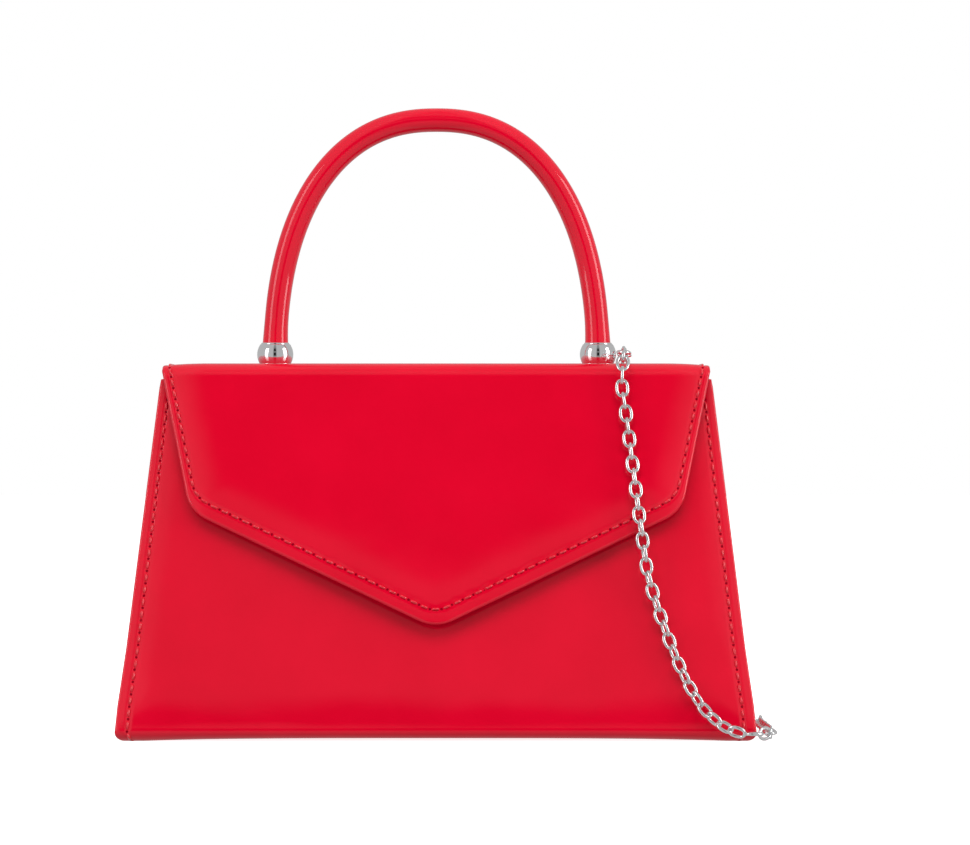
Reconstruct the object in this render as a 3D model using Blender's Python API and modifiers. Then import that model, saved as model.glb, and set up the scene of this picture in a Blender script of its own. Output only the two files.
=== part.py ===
"""A structured clutch purse with a pointed front flap, a tubular top handle and a chain strap.

Metres, +Z up.  X runs across the purse, -Y is its front, and the origin is on the
surface that it stands on, under the middle of the base.  One object for each sub-part.
"""

from math import acos, atan, cos, pi, radians, sin, tan

import bmesh
import bpy
from mathutils import Matrix, Vector

# ---------------------------------------------------------------- driving dimensions
BASE_HALF_WIDTH = 0.110
TOP_HALF_WIDTH = 0.095
BASE_HALF_DEPTH = 0.0370
MOUTH_HALF_DEPTH = 0.0140
WALL_TOP = 0.1245
STRIP_TOP = 0.1290
GAP = 0.0003  # air between pieces that touch

WRAP_THICKNESS = 0.0014
BOARD_THICKNESS = 0.0012
LINING_THICKNESS = 0.0006
BASE_BEND_RADIUS = 0.0040

SLOPE = (BASE_HALF_DEPTH - MOUTH_HALF_DEPTH) / WALL_TOP  # inward lean of front and back
SLOPE_ANGLE = atan(SLOPE)

GUSSET_THICKNESS = 0.0010
GUSSET_FLANGE = 0.0060
GUSSET_EDGE_INSET = 0.0008
GUSSET_FOLD_BASE = 0.0030
GUSSET_FOLD_TOP = 0.0085
SIDE_ROWS = 8  # rows of faces up each side, whose crease deepens on the way

FLAP_HALF_WIDTH = 0.0946
FLAP_THICKNESS = 0.0012
FLAP_SIDE_CORNER = Vector((0.0851, -0.0500))
FLAP_TIP = Vector((0.0, -0.0910))
FLAP_SIDE_RADIUS = 0.0130
FLAP_TIP_RADIUS = 0.0137
FLAP_LEAN = SLOPE_ANGLE + radians(1.8)
FLAP_HEAD = -0.0014  # top of the flap's skin, below its fold, clear of the strip when open
FLAP_LINER_HEAD = -0.0070  # top of its board and lining

STRIP_FRONT = -0.0172
STRIP_BACK = 0.0158
FLAP_AXIS = Vector((0.0, -0.0165, 0.1274))

HANDLE_HALF_SPAN = 0.0564
HANDLE_RISE = 0.0858
HANDLE_POWER = 2.3  # exponent of the superellipse that the handle follows
HANDLE_RADIUS = 0.00435
HANDLE_COVER_THICKNESS = 0.0010
BEAD_RADIUS = 0.0063
BEAD_HEIGHT = 0.0072

SNAP_DROP = 0.0740  # from the flap's fold to the magnetic snap
SNAP_RADIUS = 0.0070

RING_X = 0.0454
RING_WIRE_RADIUS = 0.0010
RING_HALF_WIDTH = 0.0070
RING_BAR = Vector((0.0, 0.0039, 0.1012))  # in the back panel's own frame
CLASP_THICKNESS = 0.0026
CLASP_HOOK_RADIUS = 0.0040
CLASP_WIRE = 0.0020
CLASP_CENTRE = Vector((0.0, 0.0057, 0.0921))  # middle of the hook's eye, same frame

CHAIN_DIAMETER = 0.0050
CHAIN_STEP = 0.0070
COIL_CENTRE = Vector((0.0300, 0.0755, 0.0))
COIL_INNER_RADIUS = 0.0215
COIL_OUTER_RADIUS = 0.0322
COIL_HEIGHT = 0.0106

# The chain's route, in stretches from the right clasp to the left one.  The drape lies
# over the closed purse, and turns as one piece about the line between its two ends,
# off to the right of the purse, when the purse is opened.
CHAIN_RIGHT_ROUTE = [
    (0.0454, 0.0291, 0.0736),
    (0.0454, 0.0287, 0.0690),
    (0.0462, 0.0286, 0.0645),
    (0.0486, 0.0290, 0.0608),
    (0.0520, 0.0294, 0.0588),
    (0.0556, 0.0295, 0.0582),
    (0.0592, 0.0292, 0.0590),
    (0.0625, 0.0286, 0.0614),
    (0.0647, 0.0277, 0.0652),
    (0.0654, 0.0269, 0.0705),
    (0.0654, 0.0258, 0.0770),
    (0.0654, 0.0245, 0.0870),
    (0.0654, 0.0234, 0.0970),
    (0.0654, 0.0221, 0.1070),
    (0.0654, 0.0211, 0.1130),
    (0.0654, 0.0206, 0.1177),
]
CHAIN_DRAPE_ROUTE = [
    (0.0654, 0.0206, 0.1180),
    (0.0654, 0.0204, 0.1230),
    (0.0654, 0.0203, 0.1281),
    (0.0654, 0.0187, 0.1314),
    (0.0654, 0.0156, 0.1335),
    (0.0655, 0.0118, 0.1339),
    (0.0655, 0.0040, 0.1330),
    (0.0655, -0.0050, 0.1326),
    (0.0653, -0.0110, 0.1329),
    (0.0651, -0.0145, 0.1334),
    (0.0648, -0.0182, 0.1325),
    (0.0645, -0.0209, 0.1303),
    (0.0643, -0.0222, 0.1272),
    (0.0642, -0.0228, 0.1210),
    (0.0652, -0.0241, 0.1140),
    (0.0662, -0.0254, 0.1065),
    (0.0672, -0.0271, 0.0982),
    (0.0683, -0.0290, 0.0895),
    (0.0693, -0.0309, 0.0810),
    (0.0703, -0.0322, 0.0735),
    (0.0714, -0.0322, 0.0655),
    (0.0728, -0.0317, 0.0568),
    (0.0754, -0.0319, 0.0479),
    (0.0784, -0.0332, 0.0390),
    (0.0816, -0.0347, 0.0304),
    (0.0852, -0.0361, 0.0222),
    (0.0890, -0.0375, 0.0152),
    (0.0932, -0.0388, 0.0097),
    (0.0980, -0.0399, 0.0058),
    (0.1015, -0.0407, 0.0040),
    (0.1050, -0.0411, 0.0031),
]
CHAIN_BACK_ROUTE = [
    (0.1066, -0.0411, 0.0030),
    (0.1086, -0.0408, 0.0029),
    (0.1108, -0.0399, 0.0029),
    (0.1137, -0.0370, 0.0029),
    (0.1148, -0.0330, 0.0029),
    (0.1149, -0.0260, 0.0029),
    (0.1145, -0.0100, 0.0029),
    (0.1142, 0.0100, 0.0029),
    (0.1144, 0.0260, 0.0029),
    (0.1147, 0.0330, 0.0029),
    (0.1136, 0.0370, 0.0029),
    (0.1107, 0.0399, 0.0029),
    (0.1068, 0.0412, 0.0029),
    (0.0970, 0.0432, 0.0029),
    (0.0860, 0.0456, 0.0029),
    (0.0760, 0.0493, 0.0029),
    (0.0692, 0.0552, 0.0029),
    (0.0660, 0.0630, 0.0029),
    (0.0652, 0.0700, 0.0029),
]
CHAIN_LEFT_ROUTE = [
    (-0.0050, 0.0720, 0.0029),
    (-0.0058, 0.0630, 0.0029),
    (-0.0105, 0.0545, 0.0029),
    (-0.0190, 0.0490, 0.0029),
    (-0.0290, 0.0462, 0.0029),
    (-0.0370, 0.0443, 0.0042),
    (-0.0425, 0.0417, 0.0085),
    (-0.0448, 0.0388, 0.0160),
    (-0.0453, 0.0366, 0.0270),
    (-0.0454, 0.0344, 0.0390),
    (-0.0454, 0.0321, 0.0510),
    (-0.0454, 0.0300, 0.0630),
    (-0.0454, 0.0291, 0.0736),
]

# ---------------------------------------------------------------- scene and collections
for old in list(bpy.data.objects):
    bpy.data.objects.remove(old, do_unlink=True)

parts = bpy.data.collections.new("clutch_purse")
cutters = bpy.data.collections.new("cutters")
for collection in (parts, cutters):
    bpy.context.scene.collection.children.link(collection)


def finish(name, colour, roughness, metallic=0.0):
    """A plain Principled material."""
    material = bpy.data.materials.new(name)
    material.use_nodes = True
    shader = material.node_tree.nodes["Principled BSDF"]
    shader.inputs["Base Color"].default_value = (*colour, 1.0)
    shader.inputs["Roughness"].default_value = roughness
    shader.inputs["Metallic"].default_value = metallic
    return material


PATENT = finish("patent_red", (0.79, 0.005, 0.02), 0.12)
BOARD = finish("board", (0.45, 0.42, 0.37), 0.9)
LINING = finish("lining_black", (0.02, 0.02, 0.022), 0.75)
CHROME = finish("chrome", (0.75, 0.75, 0.76), 0.08, 1.0)
STEEL = finish("zinc_plate", (0.55, 0.55, 0.56), 0.35, 1.0)
MAGNET = finish("magnet", (0.16, 0.16, 0.17), 0.45, 0.6)
CORE = finish("foam_core", (0.75, 0.73, 0.68), 0.85)


# ---------------------------------------------------------------- modelling helpers
def add(name, data, material, parent=None, collection=parts):
    """A named object with its material, in its collection."""
    thing = bpy.data.objects.new(name, data)
    collection.objects.link(thing)
    if material:
        data.materials.append(material)
    if parent:
        thing.parent = parent
    return thing


def empty(name, location, rotation_x=0.0):
    thing = bpy.data.objects.new(name, None)
    thing.location = location
    thing.rotation_euler = (rotation_x, 0.0, 0.0)
    parts.objects.link(thing)
    return thing


def mesh_of(bm, name):
    mesh = bpy.data.meshes.new(name)
    bmesh.ops.recalc_face_normals(bm, faces=bm.faces)
    bm.to_mesh(mesh)
    bm.free()
    return mesh


def smooth(mesh):
    mesh.shade_smooth()
    mesh.set_sharp_from_angle(angle=radians(35))


def thicken(thing, thickness, offset=-1.0):
    solid = thing.modifiers.new("thickness", "SOLIDIFY")
    solid.thickness = thickness
    solid.offset = offset
    solid.use_even_offset = True
    return solid


def cut(thing, cutter):
    """Subtract one closed object from another."""
    boolean = thing.modifiers.new("cut", "BOOLEAN")
    boolean.operation = "DIFFERENCE"
    boolean.solver = "EXACT"
    boolean.object = cutter
    cutter.hide_render = True
    cutter.display_type = "WIRE"


def cylinder(name, radius, length, material, collection=parts, parent=None, segments=24):
    """A closed cylinder along its own Z, centred on its origin."""
    bm = bmesh.new()
    bmesh.ops.create_cone(
        bm, cap_ends=True, segments=segments, radius1=radius, radius2=radius, depth=length
    )
    mesh = mesh_of(bm, name)
    smooth(mesh)
    return add(name, mesh, material, parent, collection)


def half_width(height):
    """Half the purse's width at a height above the base."""
    return BASE_HALF_WIDTH - (BASE_HALF_WIDTH - TOP_HALF_WIDTH) * height / STRIP_TOP


def wall_y(height, inward):
    """Y of the back wall, a distance inward from its outer face; the front's is minus this."""
    return BASE_HALF_DEPTH - height * SLOPE - inward / cos(SLOPE_ANGLE)


def bent_sheet(name, path, inset, thickness, material, parent=None, half=half_width):
    """A sheet across the purse that follows a path of (y, z), thickened behind its face."""
    bm = bmesh.new()
    bmesh.ops.create_grid(bm, x_segments=1, y_segments=len(path) - 1, size=1.0)
    for vertex in bm.verts:
        y, z = path[round((vertex.co.y + 1.0) / 2.0 * (len(path) - 1))]
        vertex.co = (vertex.co.x * (half(z) - inset), y, z)
    mesh = bpy.data.meshes.new(name)
    bm.to_mesh(mesh)
    bm.free()
    smooth(mesh)
    sheet = add(name, mesh, material, parent)
    thicken(sheet, thickness)
    return sheet


def arc(centre, radius, start, stop, steps):
    """Points on an arc, both ends included."""
    angles = [start + (stop - start) * i / steps for i in range(steps + 1)]
    return [(centre[0] + radius * cos(a), centre[1] + radius * sin(a)) for a in angles]


def rounded(corners, steps=6):
    """A closed outline through corners of (point, radius), each rounded by an arc."""
    outline = []
    for i, (point, radius) in enumerate(corners):
        point = Vector(point)
        before = (Vector(corners[i - 1][0]) - point).normalized()
        after = (Vector(corners[(i + 1) % len(corners)][0]) - point).normalized()
        half_angle = acos(max(-1.0, min(1.0, before.dot(after)))) / 2.0
        centre = point + (before + after).normalized() * radius / sin(half_angle)
        first = point + before * radius / tan(half_angle) - centre
        last = point + after * radius / tan(half_angle) - centre
        for k in range(steps + 1):
            blend = first.lerp(last, k / steps).normalized() * radius
            outline.append(centre + blend)
    return outline


def plate(name, outlines, thickness, material, parent=None, collection=parts):
    """A flat plate in its own XY plane, centred in Z; the outlines after the first are holes."""
    curve = bpy.data.curves.new(name, "CURVE")
    curve.dimensions = "2D"
    curve.fill_mode = "BOTH"
    curve.extrude = thickness / 2.0
    for outline in outlines:
        spline = curve.splines.new("POLY")
        spline.points.add(len(outline) - 1)
        for point, (x, y) in zip(spline.points, outline):
            point.co = (x, y, 0.0, 1.0)
        spline.use_cyclic_u = True
    return as_mesh(add(name, curve, material, parent, collection))


def as_mesh(thing):
    """The same object with a welded mesh in place of its curve."""
    name = thing.name
    evaluated = thing.evaluated_get(bpy.context.evaluated_depsgraph_get())
    mesh = bpy.data.meshes.new_from_object(evaluated)
    bm = bmesh.new()
    bm.from_mesh(mesh)
    bmesh.ops.remove_doubles(bm, verts=bm.verts, dist=1e-6)
    bmesh.ops.recalc_face_normals(bm, faces=bm.faces)
    bm.to_mesh(mesh)
    bm.free()
    smooth(mesh)
    collection, parent = thing.users_collection[0], thing.parent
    location, rotation = thing.location.copy(), thing.rotation_euler.copy()
    bpy.data.objects.remove(thing, do_unlink=True)
    solid = bpy.data.objects.new(name, mesh)
    collection.objects.link(solid)
    solid.parent = parent
    solid.location = location
    solid.rotation_euler = rotation
    return solid


def turned(name, profile, material, location, parent=None, segments=28):
    """A solid of revolution about Z from a profile of (radius, z), outer side top to bottom.

    A profile that ends where it started is one closed loop, and makes a ring.
    """
    bm = bmesh.new()
    is_loop = profile[0] == profile[-1]
    points = [bm.verts.new((r, 0.0, z)) for r, z in profile[: -1 if is_loop else None]]
    ends = points[1:] + points[:1] if is_loop else points[1:]
    for a, b in zip(points, ends):
        bm.edges.new((a, b))
    mesh = bpy.data.meshes.new(name)
    bm.to_mesh(mesh)
    bm.free()
    thing = add(name, mesh, material, parent)
    thing.location = location
    screw = thing.modifiers.new("turn", "SCREW")
    screw.axis = "Z"
    screw.steps = segments
    screw.render_steps = segments
    screw.use_merge_vertices = True
    screw.merge_threshold = 0.00001
    screw.use_smooth_shade = True
    return thing


def smooth_route(route, step):
    """Evenly spaced points on a smooth curve through a route's points."""
    points = [Vector(p) for p in route]
    ends = [points[0] * 2 - points[1], *points, points[-1] * 2 - points[-2]]
    dense = []
    for p0, p1, p2, p3 in zip(ends, ends[1:], ends[2:], ends[3:]):
        for i in range(12):
            t = i / 12.0
            bend = (2 * p0 - 5 * p1 + 4 * p2 - p3) * t * t + (3 * p1 - p0 - 3 * p2 + p3) * t**3
            dense.append(0.5 * (2 * p1 + (p2 - p0) * t + bend))
    dense.append(points[-1])
    return evenly(dense, step)


def evenly(dense, step):
    """Points an equal distance apart along a dense line, both ends included."""
    run = [0.0]
    for a, b in zip(dense, dense[1:]):
        run.append(run[-1] + (b - a).length)
    count = max(2, round(run[-1] / step) + 1)
    spaced, k = [], 0
    for i in range(count):
        want = run[-1] * i / (count - 1)
        while k < len(run) - 2 and run[k + 1] < want:
            k += 1
        share = (want - run[k]) / max(run[k + 1] - run[k], 1e-9)
        spaced.append(dense[k].lerp(dense[k + 1], min(1.0, share)))
    return spaced


def tube(name, points, radius, material, parent=None, sides=2, closed=False, caps=True):
    """A round wire or rod along points; sides is the bevel resolution."""
    curve = bpy.data.curves.new(name, "CURVE")
    curve.dimensions = "3D"
    curve.bevel_depth = radius
    curve.bevel_resolution = sides
    curve.use_fill_caps = caps and not closed
    spline = curve.splines.new("POLY")
    spline.points.add(len(points) - 1)
    for point, place in zip(spline.points, points):
        point.co = (*place, 1.0)
    spline.use_cyclic_u = closed
    return add(name, curve, material, parent)


# ---------------------------------------------------------------- bag: outer skin and boards
def wall_path(inward, top, bend):
    """Back wall, base and front wall as one path, a distance inward from the outer face."""
    z0 = inward
    lean = pi / 2 - SLOPE_ANGLE
    # the bend's centre is one radius in from both the wall and the base
    centre_z = z0 + bend
    centre_y = wall_y(centre_z, inward + bend)
    back = arc((centre_y, centre_z), bend, pi / 2 - lean, -pi / 2, 6)
    front = [(-y, z) for y, z in reversed(back)]
    return [(wall_y(top, inward), top), *back, *front, (-wall_y(top, inward), top)]


def make_outer_skin():
    path = wall_path(0.0, WALL_TOP, BASE_BEND_RADIUS)
    bent_sheet("body_wrap", path, 0.0, WRAP_THICKNESS, PATENT)


def make_boards():
    inward = WRAP_THICKNESS + GAP
    inset = GUSSET_FLANGE + GUSSET_EDGE_INSET + 0.0022
    low, high = BASE_BEND_RADIUS + 0.0010, WALL_TOP - 0.0040
    front = [(-wall_y(low, inward), low), (-wall_y(high, inward), high)]
    back = [(wall_y(high, inward), high), (wall_y(low, inward), low)]
    front_board = bent_sheet("front_board", front, inset, BOARD_THICKNESS, BOARD)
    bent_sheet("back_board", back, inset, BOARD_THICKNESS, BOARD)
    reach = wall_y(inward, inward) - 0.0040
    base = [(reach, inward), (-reach, inward)]
    bent_sheet("base_board", base, inset, BOARD_THICKNESS, BOARD)
    return front_board


def gusset_fold(height):
    share = height / WALL_TOP
    return GUSSET_FOLD_BASE + (GUSSET_FOLD_TOP - GUSSET_FOLD_BASE) * share


def make_gusset(name, side):
    """A side panel with a flange to the front and back and a crease that folds inward."""
    inward = WRAP_THICKNESS + GAP
    low, high = BASE_BEND_RADIUS + 0.0006, WALL_TOP - 0.0010
    bm = bmesh.new()
    bmesh.ops.create_grid(bm, x_segments=4, y_segments=SIDE_ROWS, size=1.0)
    for vertex in bm.verts:
        station = round((vertex.co.x + 1.0) * 2.0)
        z = low + (high - low) * (vertex.co.y + 1.0) / 2.0
        outer = half_width(z) - GUSSET_EDGE_INSET
        wall = outer - GUSSET_FLANGE
        crease = wall - gusset_fold(z)
        x = (outer, wall, crease, wall, outer)[station]
        y = (-1.0, -1.0, 0.0, 1.0, 1.0)[station] * wall_y(z, inward)
        vertex.co = (side * x, y, z)
    if side < 0:
        bmesh.ops.reverse_faces(bm, faces=bm.faces)
    mesh = bpy.data.meshes.new(name)
    bm.to_mesh(mesh)
    bm.free()
    thicken(add(name, mesh, PATENT), GUSSET_THICKNESS, offset=1.0)


def make_lining():
    """An open pouch just inside the boards and the gussets' creases."""
    inward = WRAP_THICKNESS + BOARD_THICKNESS + 2 * GAP
    floor_z, rim_z = inward, WALL_TOP - 0.0015
    bm = bmesh.new()
    quarter_turn = Matrix.Rotation(pi / 2, 4, "Z")
    bmesh.ops.create_circle(bm, cap_ends=True, segments=6, radius=1.0, matrix=quarter_turn)
    rows = [list(bm.verts)]
    edges = list(bm.edges)
    for _ in range(SIDE_ROWS):
        grown = bmesh.ops.extrude_edge_only(bm, edges=edges)["geom"]
        rows.append([v for v in grown if isinstance(v, bmesh.types.BMVert)])
        new_edges = [e for e in grown if isinstance(e, bmesh.types.BMEdge)]
        edges = [e for e in new_edges if all(v in rows[-1] for v in e.verts)]
    for i, row in enumerate(rows):
        z = floor_z + (rim_z - floor_z) * i / SIDE_ROWS
        wall = half_width(z) - GUSSET_EDGE_INSET - GUSSET_FLANGE - 0.0024
        for vertex in row:
            middle = abs(vertex.co.y) < 0.1
            x = wall - gusset_fold(z) if middle else wall
            y = 0.0 if middle else wall_y(z, inward)
            sign_x = 1.0 if vertex.co.x > 0 else -1.0
            sign_y = 1.0 if vertex.co.y > 0 else -1.0
            vertex.co = (sign_x * x, sign_y * y, z)
    thicken(add("lining", mesh_of(bm, "lining"), LINING), LINING_THICKNESS)


def make_slip_pocket():
    inward = WRAP_THICKNESS + BOARD_THICKNESS + LINING_THICKNESS + 3 * GAP
    path = [(wall_y(z, inward), z) for z in (0.098, 0.038)]
    bent_sheet("slip_pocket", path, 0.0, 0.0005, LINING, half=lambda z: 0.0550)


def make_back_hem():
    """The cover's tail, sewn down over the top of the back wall."""
    outward = -(WRAP_THICKNESS + GAP)
    path = [(wall_y(z, outward), z) for z in (WALL_TOP + 0.0008, 0.1040)]
    bent_sheet("back_hem", path, 0.0, WRAP_THICKNESS, PATENT, half=lambda z: FLAP_HALF_WIDTH)


# ---------------------------------------------------------------- lid: top strip and handle
def flat_slab(name, front, back, top, thickness, half, material):
    """A level sheet across the purse, bored for the two screws of the handle."""
    path = [(front, top), (back, top)]
    slab = bent_sheet(name, path, 0.0, thickness, material, half=lambda z: half)
    for side in (-1, 1):
        hole = cylinder(f"{name}_hole_{side}", 0.0018, 0.0060, None, cutters)
        hole.location = (side * HANDLE_HALF_SPAN, 0.0, top)
        cut(slab, hole)


def make_lid():
    """The top of the cover, its board and its lining, one under another."""
    board_top = STRIP_TOP - WRAP_THICKNESS - GAP
    lining_top = board_top - BOARD_THICKNESS - GAP
    flat_slab(
        "top_strip", STRIP_FRONT, STRIP_BACK, STRIP_TOP, WRAP_THICKNESS, FLAP_HALF_WIDTH, PATENT
    )
    flat_slab("lid_board", -0.0135, 0.0120, board_top, BOARD_THICKNESS, 0.0880, BOARD)
    flat_slab("lid_lining", -0.0150, 0.0125, lining_top, LINING_THICKNESS, 0.0895, LINING)


def handle_line(step):
    """The handle's centreline: a superellipse from one bead's socket to the other's."""
    foot = STRIP_TOP + BEAD_HEIGHT - 0.0006
    dense = []
    for i in range(241):
        turn = pi * i / 240
        across = abs(cos(turn)) ** (2 / HANDLE_POWER) * (1 if cos(turn) > 0 else -1)
        height = STRIP_TOP + HANDLE_RISE * sin(turn) ** (2 / HANDLE_POWER)
        if height > foot:
            dense.append(Vector((HANDLE_HALF_SPAN * across, 0.0, height)))
    ends = [Vector((side * dense[0].x, 0.0, foot)) for side in (1, -1)]
    return evenly([ends[0], *dense, ends[1]], step)


def make_handle():
    line = handle_line(0.0055)
    cover = tube("handle_cover", line, HANDLE_RADIUS, PATENT, sides=4, caps=False)
    thicken(cover, HANDLE_COVER_THICKNESS)
    core_radius = HANDLE_RADIUS - HANDLE_COVER_THICKNESS - GAP
    tube("handle_core", line, core_radius, CORE, sides=2)
    for name, side in (("left", -1), ("right", 1)):
        foot = Vector((side * HANDLE_HALF_SPAN, 0.0, 0.0))
        make_bead(f"bead_{name}", foot + Vector((0, 0, STRIP_TOP + GAP)))
        washer = [(0.0019, 0.1250), (0.0045, 0.1250), (0.0045, 0.1243), (0.0019, 0.1243), (0.0019, 0.1250)]
        turned(f"washer_{name}", washer, STEEL, foot)
        screw = [
            (0.0, 0.1331),
            (0.0014, 0.1331),
            (0.0014, 0.1240),
            (0.0033, 0.1240),
            (0.0033, 0.1229),
            (0.0026, 0.1222),
            (0.0, 0.1222),
        ]
        turned(f"screw_{name}", screw, STEEL, foot, segments=20)


def make_bead(name, location):
    """A sphere cut flat at both ends, with a seat for the handle above and a bore below."""
    half = BEAD_HEIGHT / 2
    end_angle = acos(half / BEAD_RADIUS)
    steps = 8
    outside = [
        (BEAD_RADIUS * sin(a), half + BEAD_RADIUS * cos(a))
        for a in (end_angle + (pi - 2 * end_angle) * i / steps for i in range(steps + 1))
    ]
    seat, bore = HANDLE_RADIUS + GAP, 0.0018
    profile = [
        (0.0, BEAD_HEIGHT - 0.0012),
        (seat, BEAD_HEIGHT - 0.0012),
        (seat, BEAD_HEIGHT),
        *outside,
        (bore, 0.0),
        (bore, 0.0042),
        (0.0, 0.0042),
    ]
    turned(name, profile, CHROME, location)


# ---------------------------------------------------------------- flap and magnetic snap
def flap_outline(inset, top):
    """The flap's outline, drawn in from its edge by an inset and cut off below its fold."""
    corner = FLAP_SIDE_CORNER
    side = Vector((FLAP_HALF_WIDTH, 0.0)) - corner
    lower = FLAP_TIP - corner
    side_in = Vector((-side.y, side.x)).normalized() * inset
    lower_in = Vector((lower.y, -lower.x)).normalized() * inset
    corner_in = meet(corner + side_in, side, corner + lower_in, lower)
    tip_in = Vector((0.0, (corner + lower_in).y - (corner + lower_in).x * lower.y / lower.x))
    top_in = corner + side_in + side * ((top - corner.y) / side.y)
    right = [(top_in, 0.0015), (corner_in, FLAP_SIDE_RADIUS - inset)]
    left = [((-p[0], p[1]), r) for p, r in reversed(right)]
    return rounded([*left, *right, (tip_in, FLAP_TIP_RADIUS - inset)])


def meet(a, along_a, b, along_b):
    """Where two lines in the plane cross."""
    cross = along_a.x * along_b.y - along_a.y * along_b.x
    share = ((b.x - a.x) * along_b.y - (b.y - a.y) * along_b.x) / cross
    return a + along_a * share


def flap_plate(name, inset, top, outer, thickness, material):
    """A plate in the flap's plane; outer is how far its outer face stands from the fold's axis."""
    sheet = plate(name, [flap_outline(inset, top)], thickness, material, flap_frame)
    sheet.location = (0.0, outer + thickness / 2, 0.0)
    sheet.rotation_euler = (pi / 2, 0.0, 0.0)
    return sheet


def make_flap():
    flap_plate("flap_panel", 0.0, FLAP_HEAD, -0.0010, FLAP_THICKNESS, PATENT)
    board = flap_plate("flap_board", 0.0030, FLAP_LINER_HEAD, 0.0005, 0.0008, BOARD)
    flap_plate("flap_lining", 0.0015, FLAP_LINER_HEAD, 0.0016, LINING_THICKNESS, LINING)
    hole = cylinder("flap_board_hole", 0.0071, 0.0060, None, cutters, flap_frame, 32)
    hole.location = (0.0, 0.0009, -SNAP_DROP)
    hole.rotation_euler = (pi / 2, 0.0, 0.0)
    cut(board, hole)
    back = cylinder("stud_backplate", 0.0065, 0.0005, STEEL, parts, flap_frame)
    back.location = (0.0, 0.0009, -SNAP_DROP)
    back.rotation_euler = (pi / 2, 0.0, 0.0)
    stud = [
        (0.0, 0.0006),
        (0.0060, 0.0006),
        (0.0060, 0.0),
        (0.0018, 0.0),
        (0.0018, -0.0010),
        (0.0, -0.0010),
    ]
    face = 0.0016 + LINING_THICKNESS + GAP
    thing = turned("magnet_stud", stud, STEEL, (0.0, face + 0.0006, -SNAP_DROP), flap_frame)
    thing.rotation_euler = (pi / 2, 0.0, 0.0)


def snap_height():
    """Height of the snap on the front panel, square across from the flap's stud."""
    stud_face, cup_face = 0.0031, 0.0018
    fall = SNAP_DROP * cos(FLAP_LEAN)
    return FLAP_AXIS.z - fall - stud_face * sin(FLAP_LEAN) - cup_face * sin(SLOPE_ANGLE)


def make_snap_socket(front_board):
    """A magnet in a metal cup on the front panel, and the plate that holds it behind."""
    z = snap_height()
    on_wall = empty("snap_frame", (0.0, -wall_y(z, 0.0), z), SLOPE_ANGLE * -1)
    cup = [
        (0.0023, 0.0015),
        (SNAP_RADIUS, 0.0015),
        (SNAP_RADIUS, 0.0),
        (SNAP_RADIUS - 0.0004, 0.0),
        (SNAP_RADIUS - 0.0004, 0.0011),
        (0.0023, 0.0011),
        (0.0023, 0.0015),
    ]
    turned("magnet_cup", cup, STEEL, (0.0, -GAP, 0.0), on_wall).rotation_euler = (pi / 2, 0, 0)
    ring = [(0.0026, 0.0009), (0.0062, 0.0009), (0.0062, 0.0002), (0.0026, 0.0002), (0.0026, 0.0009)]
    turned("magnet_ring", ring, MAGNET, (0.0, -GAP, 0.0), on_wall).rotation_euler = (pi / 2, 0, 0)
    behind = WRAP_THICKNESS + GAP + BOARD_THICKNESS / 2
    plate_behind = cylinder("socket_backplate", 0.0065, 0.0006, STEEL, parts, on_wall)
    plate_behind.location = (0.0, behind, 0.0)
    plate_behind.rotation_euler = (pi / 2, 0.0, 0.0)
    hole = cylinder("front_board_hole", 0.0071, 0.0060, None, cutters, on_wall, 32)
    hole.location = (0.0, behind, 0.0)
    hole.rotation_euler = (pi / 2, 0.0, 0.0)
    cut(front_board, hole)


# ---------------------------------------------------------------- rings and clasps at the back
def make_ring_tab(name, side):
    """A strap folded round the ring's bar, both ends sewn to the back hem."""
    y, z = RING_BAR.y, RING_BAR.z
    loop = 0.00185
    inner = [(0.0025, 0.1225), (0.0025, 0.1047)]
    turn = arc((y, z), loop, radians(150), radians(390), 10)
    outer = [(0.0038, 0.1052), (0.0038, 0.1225)]
    path = [*inner, *turn, *outer]
    tab = bent_sheet(name, path, 0.0, 0.0010, PATENT, back_frame, half=lambda z: 0.0050)
    tab.modifiers["thickness"].offset = 0.0
    tab.location = (side * RING_X, 0.0, 0.0)


def make_d_ring(name, ring_frame):
    """A bent wire: a straight bar in the tab and a round bow below it."""
    half = RING_HALF_WIDTH
    bow = arc((0.0, -0.0015), half, 0.0, -pi, 14)
    line = [(-half, 0.0, 0.0), (half, 0.0, 0.0), *((x, 0.0, z) for x, z in bow)]
    tube(name, line, RING_WIRE_RADIUS, CHROME, ring_frame, sides=2, closed=True)


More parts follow.
